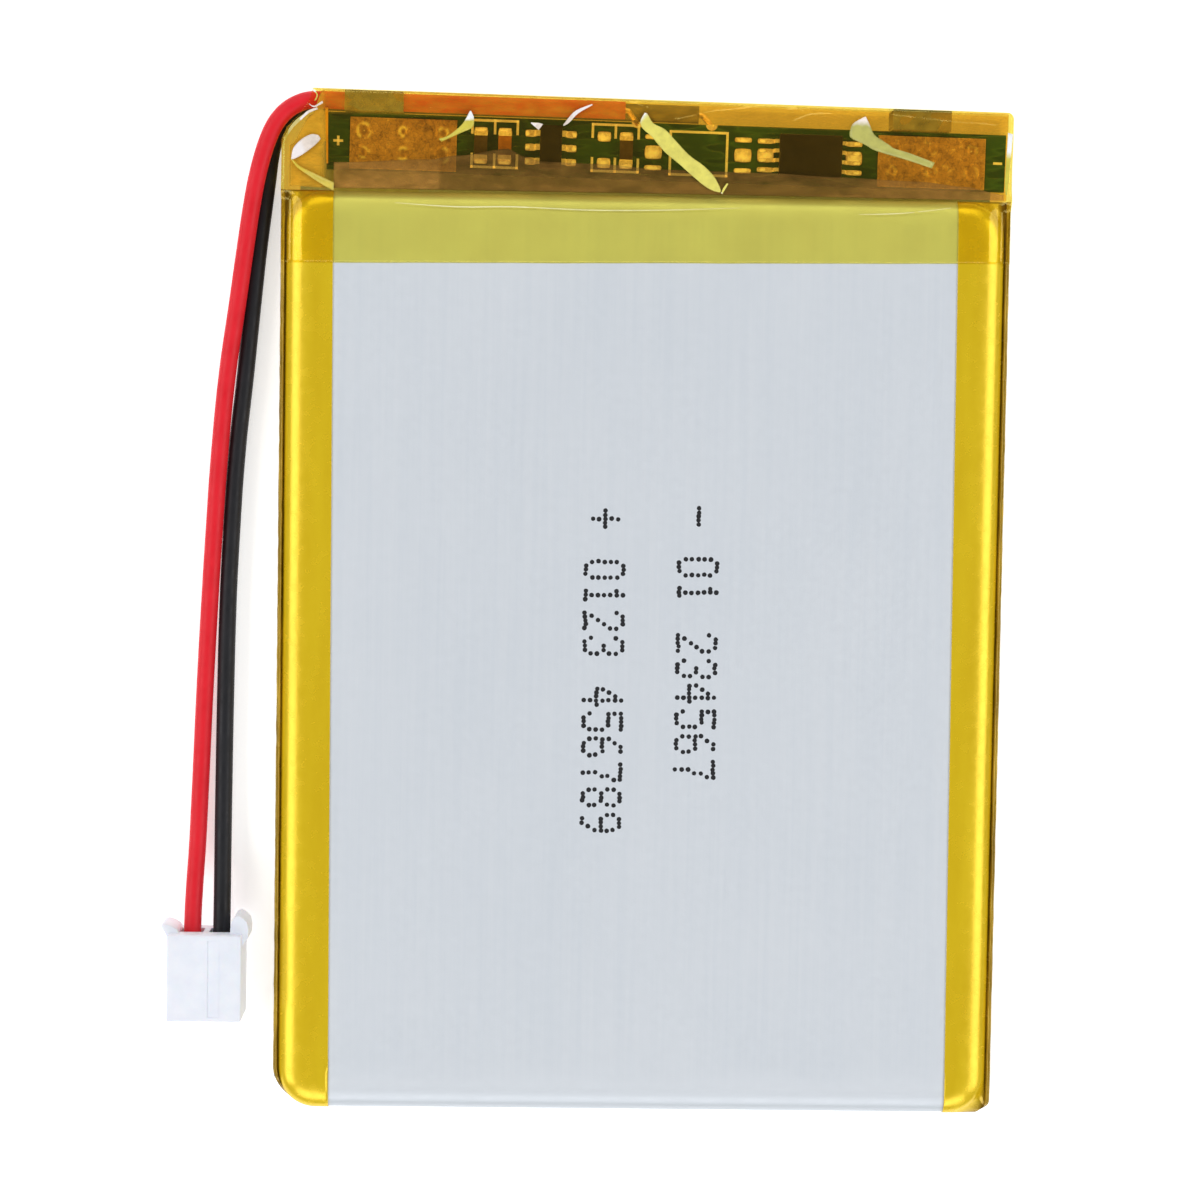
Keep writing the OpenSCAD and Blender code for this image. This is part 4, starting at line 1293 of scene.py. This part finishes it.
PLUG_LENGTH = 6
PLUG_HALF = 2.55
CAVITY = 1.6
GRIP_Z = 0.7                     # from the plug's faces to its grips
GRIPS = [                        # outlines about the middle of the plug's rear edge
    [(-2.5, -1.3), (-1.72, -1.3), (-1.72, -0.1), (-1.95, 0.3), (-2.3, 0.52), (-2.75, 0.66),
     (-3.0, 0.62), (-3.02, 0.45), (-2.8, 0.1), (-2.56, -0.4)],
    [(1.72, -1.3), (2.5, -1.3), (2.62, -0.75), (2.95, -0.3), (3.0, 0.3), (2.88, 0.8),
     (2.6, 1.12), (2.28, 1.3), (1.98, 1.16), (1.8, 0.8), (1.72, 0.3)],
]


def make_plug(material):
    """Two-way housing with a grip at each rear corner, two cavities and a shallow groove."""
    low, high = box_mm("connector_housing")
    front_y, rear_y, top = low.y, low.y + PLUG_LENGTH, high.z
    centres = sorted({round((a.x + c.x) / 2, 2) for a, c in islands("crimp_terminals")})
    middle = sum(centres) / len(centres)

    body = bmesh.new()
    add_box(body, (middle - PLUG_HALF, front_y, 0), (middle + PLUG_HALF, rear_y, top))
    bevel(body, 0.14, 3)
    plug = mesh_object("connector", body)
    for outline in GRIPS:
        grip = bmesh.new()
        face = grip.faces.new([grip.verts.new((middle + x, rear_y + y, GRIP_Z)) for x, y in outline])
        made = bmesh.ops.extrude_face_region(grip, geom=[face])["geom"]
        for v in made:
            if isinstance(v, bmesh.types.BMVert):
                v.co.z = top - GRIP_Z
        bmesh.ops.recalc_face_normals(grip, faces=grip.faces)
        bevel(grip, 0.08, 2)
        apply_boolean(plug, grip, "UNION")

    half = CAVITY / 2
    hollows = [((x - half, front_y - 1, top / 2 - half), (x + half, rear_y + 1, top / 2 + half))
               for x in centres]
    hollows.append(((middle + 0.25, front_y + 0.3, top - 0.05), (middle + 1.1, rear_y - 0.4, top + 0.05)))
    for corners in hollows:
        hollow = bmesh.new()
        add_box(hollow, *corners)
        apply_boolean(plug, hollow, "DIFFERENCE")
    mesh = plug.data.copy()
    mesh.transform(Matrix.Scale(MM, 4))
    bpy.data.objects.remove(plug)
    return finish_piece("plug_housing", mesh, material, ["connector_housing"], sharp=40)


def mesh_object(name, work):
    """A loose object of a bmesh, which is used up."""
    mesh = bpy.data.meshes.new(name)
    work.to_mesh(mesh)
    work.free()
    made = bpy.data.objects.new(name, mesh)
    bpy.context.scene.collection.objects.link(made)
    return made


def apply_boolean(target, work, operation):
    """Joins a bmesh to an object, or cuts it out of it."""
    tool = mesh_object("tool", work)
    modifier = target.modifiers.new("cut", "BOOLEAN")
    modifier.object = tool
    modifier.operation = operation
    modifier.solver = "EXACT"
    shape = target.evaluated_get(bpy.context.evaluated_depsgraph_get())
    mesh = bpy.data.meshes.new_from_object(shape)
    target.modifiers.clear()
    target.data = mesh
    bpy.data.objects.remove(tool)


# ---- materials ----

def side_tape_material():
    """Yellow polyimide, glossy and a little wavy, and mottled brown at its rim: the tape's colour over the
    folded seal, with painted shade in the groove beside the pocket.
    """
    s = Shade("yellow_polyimide", Metallic=0.3, Roughness=0.24)
    tone = s.grain((1.2, 8, 2), 3)
    body = s.ramp(tone, [(0.3, srgb(234, 197, 26)), (0.7, srgb(242, 207, 32))])
    rim = s.ramp(s.grain((0.7, 5, 0.7), 3), [(0.3, srgb(134, 106, 22)), (0.5, srgb(162, 130, 30)),
                                             (0.7, srgb(196, 162, 50))])
    s.colour(s.mix(s.mark("rim"), body, rim))
    s.roughness(s.grain(0.8, 4), 0.2, 0.3)
    s.bump(s.grain((0.5, 3, 0.5), 3), 0.004)
    s.bump(s.grain(2.6, 2), 0.012)
    return s.material


def board_material():
    """Green solder mask over raised tracks."""
    s = Shade("solder_mask", Roughness=0.25)
    tracks = s.grain((2.2, 0.5, 5), 1, 0.3)
    s.colour(s.ramp(tracks, [(0.4, (0.018, 0.075, 0.035, 1)), (0.5, (0.05, 0.15, 0.07, 1)),
                             (0.6, (0.03, 0.11, 0.05, 1))]))
    s.bump(s.ramp(tracks, [(0.45, 0.0), (0.5, 1.0)]), 0.02)
    return s.material


def terminal_material():
    """Reflowed solder seen through amber tape: crumbly, with painted highlights on the rings round the
    hollows and painted shade in the hollows.
    """
    s = Shade("terminal_solder", Metallic=0.4)
    flat = s.ramp(s.grain(0.55, 5, 0.7), [(0.3, (0.2, 0.1, 0.04, 1)), (0.45, (0.52, 0.28, 0.1, 1)),
                                          (0.6, (0.62, 0.34, 0.13, 1)), (0.74, (1.0, 0.72, 0.3, 1))])
    swirl = s.ramp(s.grain(1.3, 3, 0.5, 1.8), [(0.455, 0.0), (0.49, 0.55), (0.52, 0.0)])
    flat = s.mix(swirl, flat, (0.2, 0.11, 0.07, 1))
    # Painted shade in the hollows and painted highlights on their rings
    flat = s.mix(s.mark("hollow"), flat, (0.26, 0.13, 0.05, 1))
    s.colour(s.mix(s.mark("ring"), flat, (1.0, 0.8, 0.36, 1)))
    # Painted light: the solder gives off a little of its colour
    s.glow(0.25)
    s.roughness(s.grain(0.3, 4), 0.22, 0.45)
    s.bump(s.grain(0.16, 4, 0.7), 0.03)
    return s.material


# Light and dark tone
LAMINATES = {
    "laminate_blue_grey": (srgb(224, 229, 235), srgb(219, 225, 232)),
    "laminate_back": (srgb(220, 225, 231), srgb(214, 220, 227)),
}
# Tint, and the haze's colour
FILMS = {
    "clear_amber_film": ((0.985, 0.955, 0.63, 1),),
    "back_amber_film": ((0.975, 0.81, 0.42, 1),),
    "inner_amber_film": ((0.987, 0.885, 0.67, 1), (1.0, 0.6, 0.2, 1)),
    "hazy_film": ((0.975, 0.925, 0.92, 1), (0.82, 0.46, 0.5, 1)),
}
# Colours of the tip and the body, and where one turns into the other; the white and pale colours are painted
# highlights of the tape's folds
FOLD_FILMS = {
    "fold_film": (srgb(255, 255, 255), srgb(238, 228, 112), 0.14),
    "fold_film_pale": (srgb(250, 252, 255), srgb(222, 208, 80), 0.3),
    "fold_film_green": (srgb(255, 242, 234), srgb(196, 192, 104), 0.16),
    "fold_film_yellow": (srgb(222, 196, 60), srgb(226, 204, 86), 0.5),
    "fold_film_orange": (srgb(236, 150, 20), srgb(226, 140, 14), 0.5),
    "crease_film": (srgb(244, 238, 190), srgb(236, 230, 168), 0.5),
    "flake_film": (srgb(248, 240, 238), srgb(240, 226, 214), 0.5),
}
# Colour, darker tone, roughness, size of the grain and depth of the relief
PLASTICS = {
    "red_sheath": (srgb(232, 34, 48), srgb(222, 26, 40), 0.5, 2.0, 0.004),
    "black_sheath": (srgb(34, 34, 38), srgb(26, 26, 29), 0.5, 2.0, 0.004),
    "plug_nylon": (srgb(240, 243, 251), srgb(233, 237, 247), 0.42, 1.2, 0.003),
    "ink_black": (srgb(20, 21, 26), srgb(12, 13, 17), 0.6, 0.2, 0.002),
    "silk_ink": (srgb(250, 240, 210), srgb(228, 214, 178), 0.55, 0.3, 0.004),
    "epoxy_package": ((0.014, 0.009, 0.008, 1), (0.008, 0.005, 0.004, 1), 0.45, 0.3, 0.006),
    "resistor_glaze": ((0.12, 0.08, 0.07, 1), (0.07, 0.045, 0.04, 1), 0.3, 0.4, 0.004),
    "brown_ceramic": ((0.52, 0.2, 0.06, 1), (0.36, 0.13, 0.04, 1), 0.45, 0.4, 0.006),
    "cathode_coat": (srgb(44, 44, 46), srgb(34, 34, 36), 0.7, 0.5, 0.004),
    "anode_coat": (srgb(58, 54, 52), srgb(44, 41, 40), 0.65, 0.5, 0.004),
    "separator_film": (srgb(240, 240, 236), srgb(228, 228, 222), 0.45, 2.0, 0.003),
    "green_tape": (srgb(60, 160, 96), srgb(46, 140, 82), 0.3, 1.0, 0.004),
    "sealant_strip": (srgb(226, 224, 206), srgb(208, 205, 184), 0.4, 0.8, 0.004),
    "black_foam": (srgb(50, 50, 54), srgb(36, 36, 38), 0.85, 0.25, 0.03),
}
# The same for metals
METALS = {
    "tinned_pad": ((1.0, 0.84, 0.46, 1), (0.3, 0.17, 0.08, 1), 0.25, 0.3, 0.02),
    "fillet_solder": ((1.0, 0.84, 0.46, 1), (0.3, 0.17, 0.08, 1), 0.2, 0.2, 0.02),
    "bright_solder": ((1.0, 0.82, 0.48, 1), (0.6, 0.4, 0.2, 1), 0.2, 0.2, 0.02),
    "nickel_strip": ((0.68, 0.64, 0.57, 1), (0.55, 0.51, 0.45, 1), 0.3, 0.4, 0.004),
    "aluminium_strip": ((0.86, 0.87, 0.88, 1), (0.74, 0.75, 0.77, 1), 0.28, 0.4, 0.004),
    "copper_strand": ((0.84, 0.52, 0.34, 1), (0.66, 0.36, 0.2, 1), 0.3, 0.1, 0.006),
    "tinned_bronze": ((0.82, 0.74, 0.56, 1), (0.66, 0.57, 0.4, 1), 0.26, 0.4, 0.003),
}
# What only some of them have; the emission amounts are painted light, and glint marks a painted highlight
EXTRAS = {
    "red_sheath": {"Specular_IOR_Level": 0.3},
    "black_sheath": {"Specular_IOR_Level": 0.3},
    "plug_nylon": {"Subsurface_Weight": 0.1, "Subsurface_Scale": 0.0008},
    "silk_ink": {"glow": 0.25},
    "tinned_pad": {"metallic": 0.2, "glint": True, "glow": 0.55},
    "fillet_solder": {"metallic": 0.2, "glint": True, "glow": 0.55},
    "bright_solder": {"metallic": 0.3, "glow": 0.35},
    "nickel_strip": {"stretch": (8, 1, 1)},
    "aluminium_strip": {"stretch": (8, 1, 1)},
    "copper_strand": {"stretch": (6, 1, 1)},
}


def make_materials():
    made = {
        "yellow_polyimide": side_tape_material(),
        "solder_mask": board_material(),
        "terminal_solder": terminal_material(),
    }
    for kind, looks in ((laminate, LAMINATES), (film, FILMS), (fold_material, FOLD_FILMS),
                        (plastic, PLASTICS), (metal, METALS)):
        for name, look in looks.items():
            made[name] = kind(name, *look, **EXTRAS.get(name, {}))
    return made


# Materials of the CAD nodes that stay in view
KEPT = {
    "laminate_back": ["pouch_back_cover"],
    "cathode_coat": ["cathode_sheets"],
    "anode_coat": ["anode_sheets"],
    "green_tape": ["stack_tapes"],
    "aluminium_strip": ["positive_tab"],
    "nickel_strip": ["negative_tab", "positive_weld_plate", "negative_weld_plate"],
    "sealant_strip": ["positive_tab_sealant", "negative_tab_sealant"],
    "solder_mask": ["circuit_board"],
    "bright_solder": ["via_plugs", "protection_ic_leads", "power_switch_leads", "wire_solder_joints"],
    "copper_strand": ["bare_wire_ends"],
    "black_foam": ["board_foam_pad"],
    "red_sheath": ["red_lead_taped"],
    "black_sheath": ["black_lead_taped"],
    "tinned_bronze": ["crimp_terminals"],
}


def dress(node, material):
    """Gives a CAD node its material."""
    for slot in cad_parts[node].material_slots:
        slot.material = material


# ---- the scene ----

make_camera()
materials = make_materials()

red = make_lead("lead_red", RED_ROUTE, materials["red_sheath"], "red_lead")
black = make_lead("lead_black", BLACK_ROUTE, materials["black_sheath"], "black_lead")
plug = make_plug(materials["plug_nylon"])

make_studio()
make_floor()

for name, nodes in KEPT.items():
    for node in nodes:
        dress(node, materials[name])

make_pouch_front(materials["laminate_blue_grey"])
make_pouch_seals(materials["laminate_blue_grey"])
make_separator(materials["separator_film"])
make_side_tape("tape_left", -1, materials["yellow_polyimide"], "side_tape_left")
make_side_tape("tape_right", 1, materials["yellow_polyimide"], "side_tape_right")
make_ink(materials["ink_black"])

make_solder_pads(materials["tinned_pad"])
make_fillets(materials["fillet_solder"])
make_terminal_pads(materials["terminal_solder"])
make_silkscreen(materials["silk_ink"])
bevelled_boxes("ic_body", "protection_ic", 0.06, materials["epoxy_package"])
bevelled_boxes("switch_body", "power_switch", 0.07, materials["epoxy_package"])
bevelled_boxes("resistor_bodies", "chip_resistors", 0.03, materials["resistor_glaze"])
bevelled_boxes("capacitor_body", "chip_capacitor", 0.03, materials["brown_ceramic"])
bevelled_boxes("end_caps", "chip_end_caps", 0.05, materials["bright_solder"])

make_inner_film(materials["inner_amber_film"])
make_haze_film(materials["hazy_film"])
make_end_film(materials["clear_amber_film"])
make_back_film(materials["back_amber_film"])
for name, key, lift, arch, left, right in FOLDS:
    leaf(name, left, right, materials[key], lift, arch)
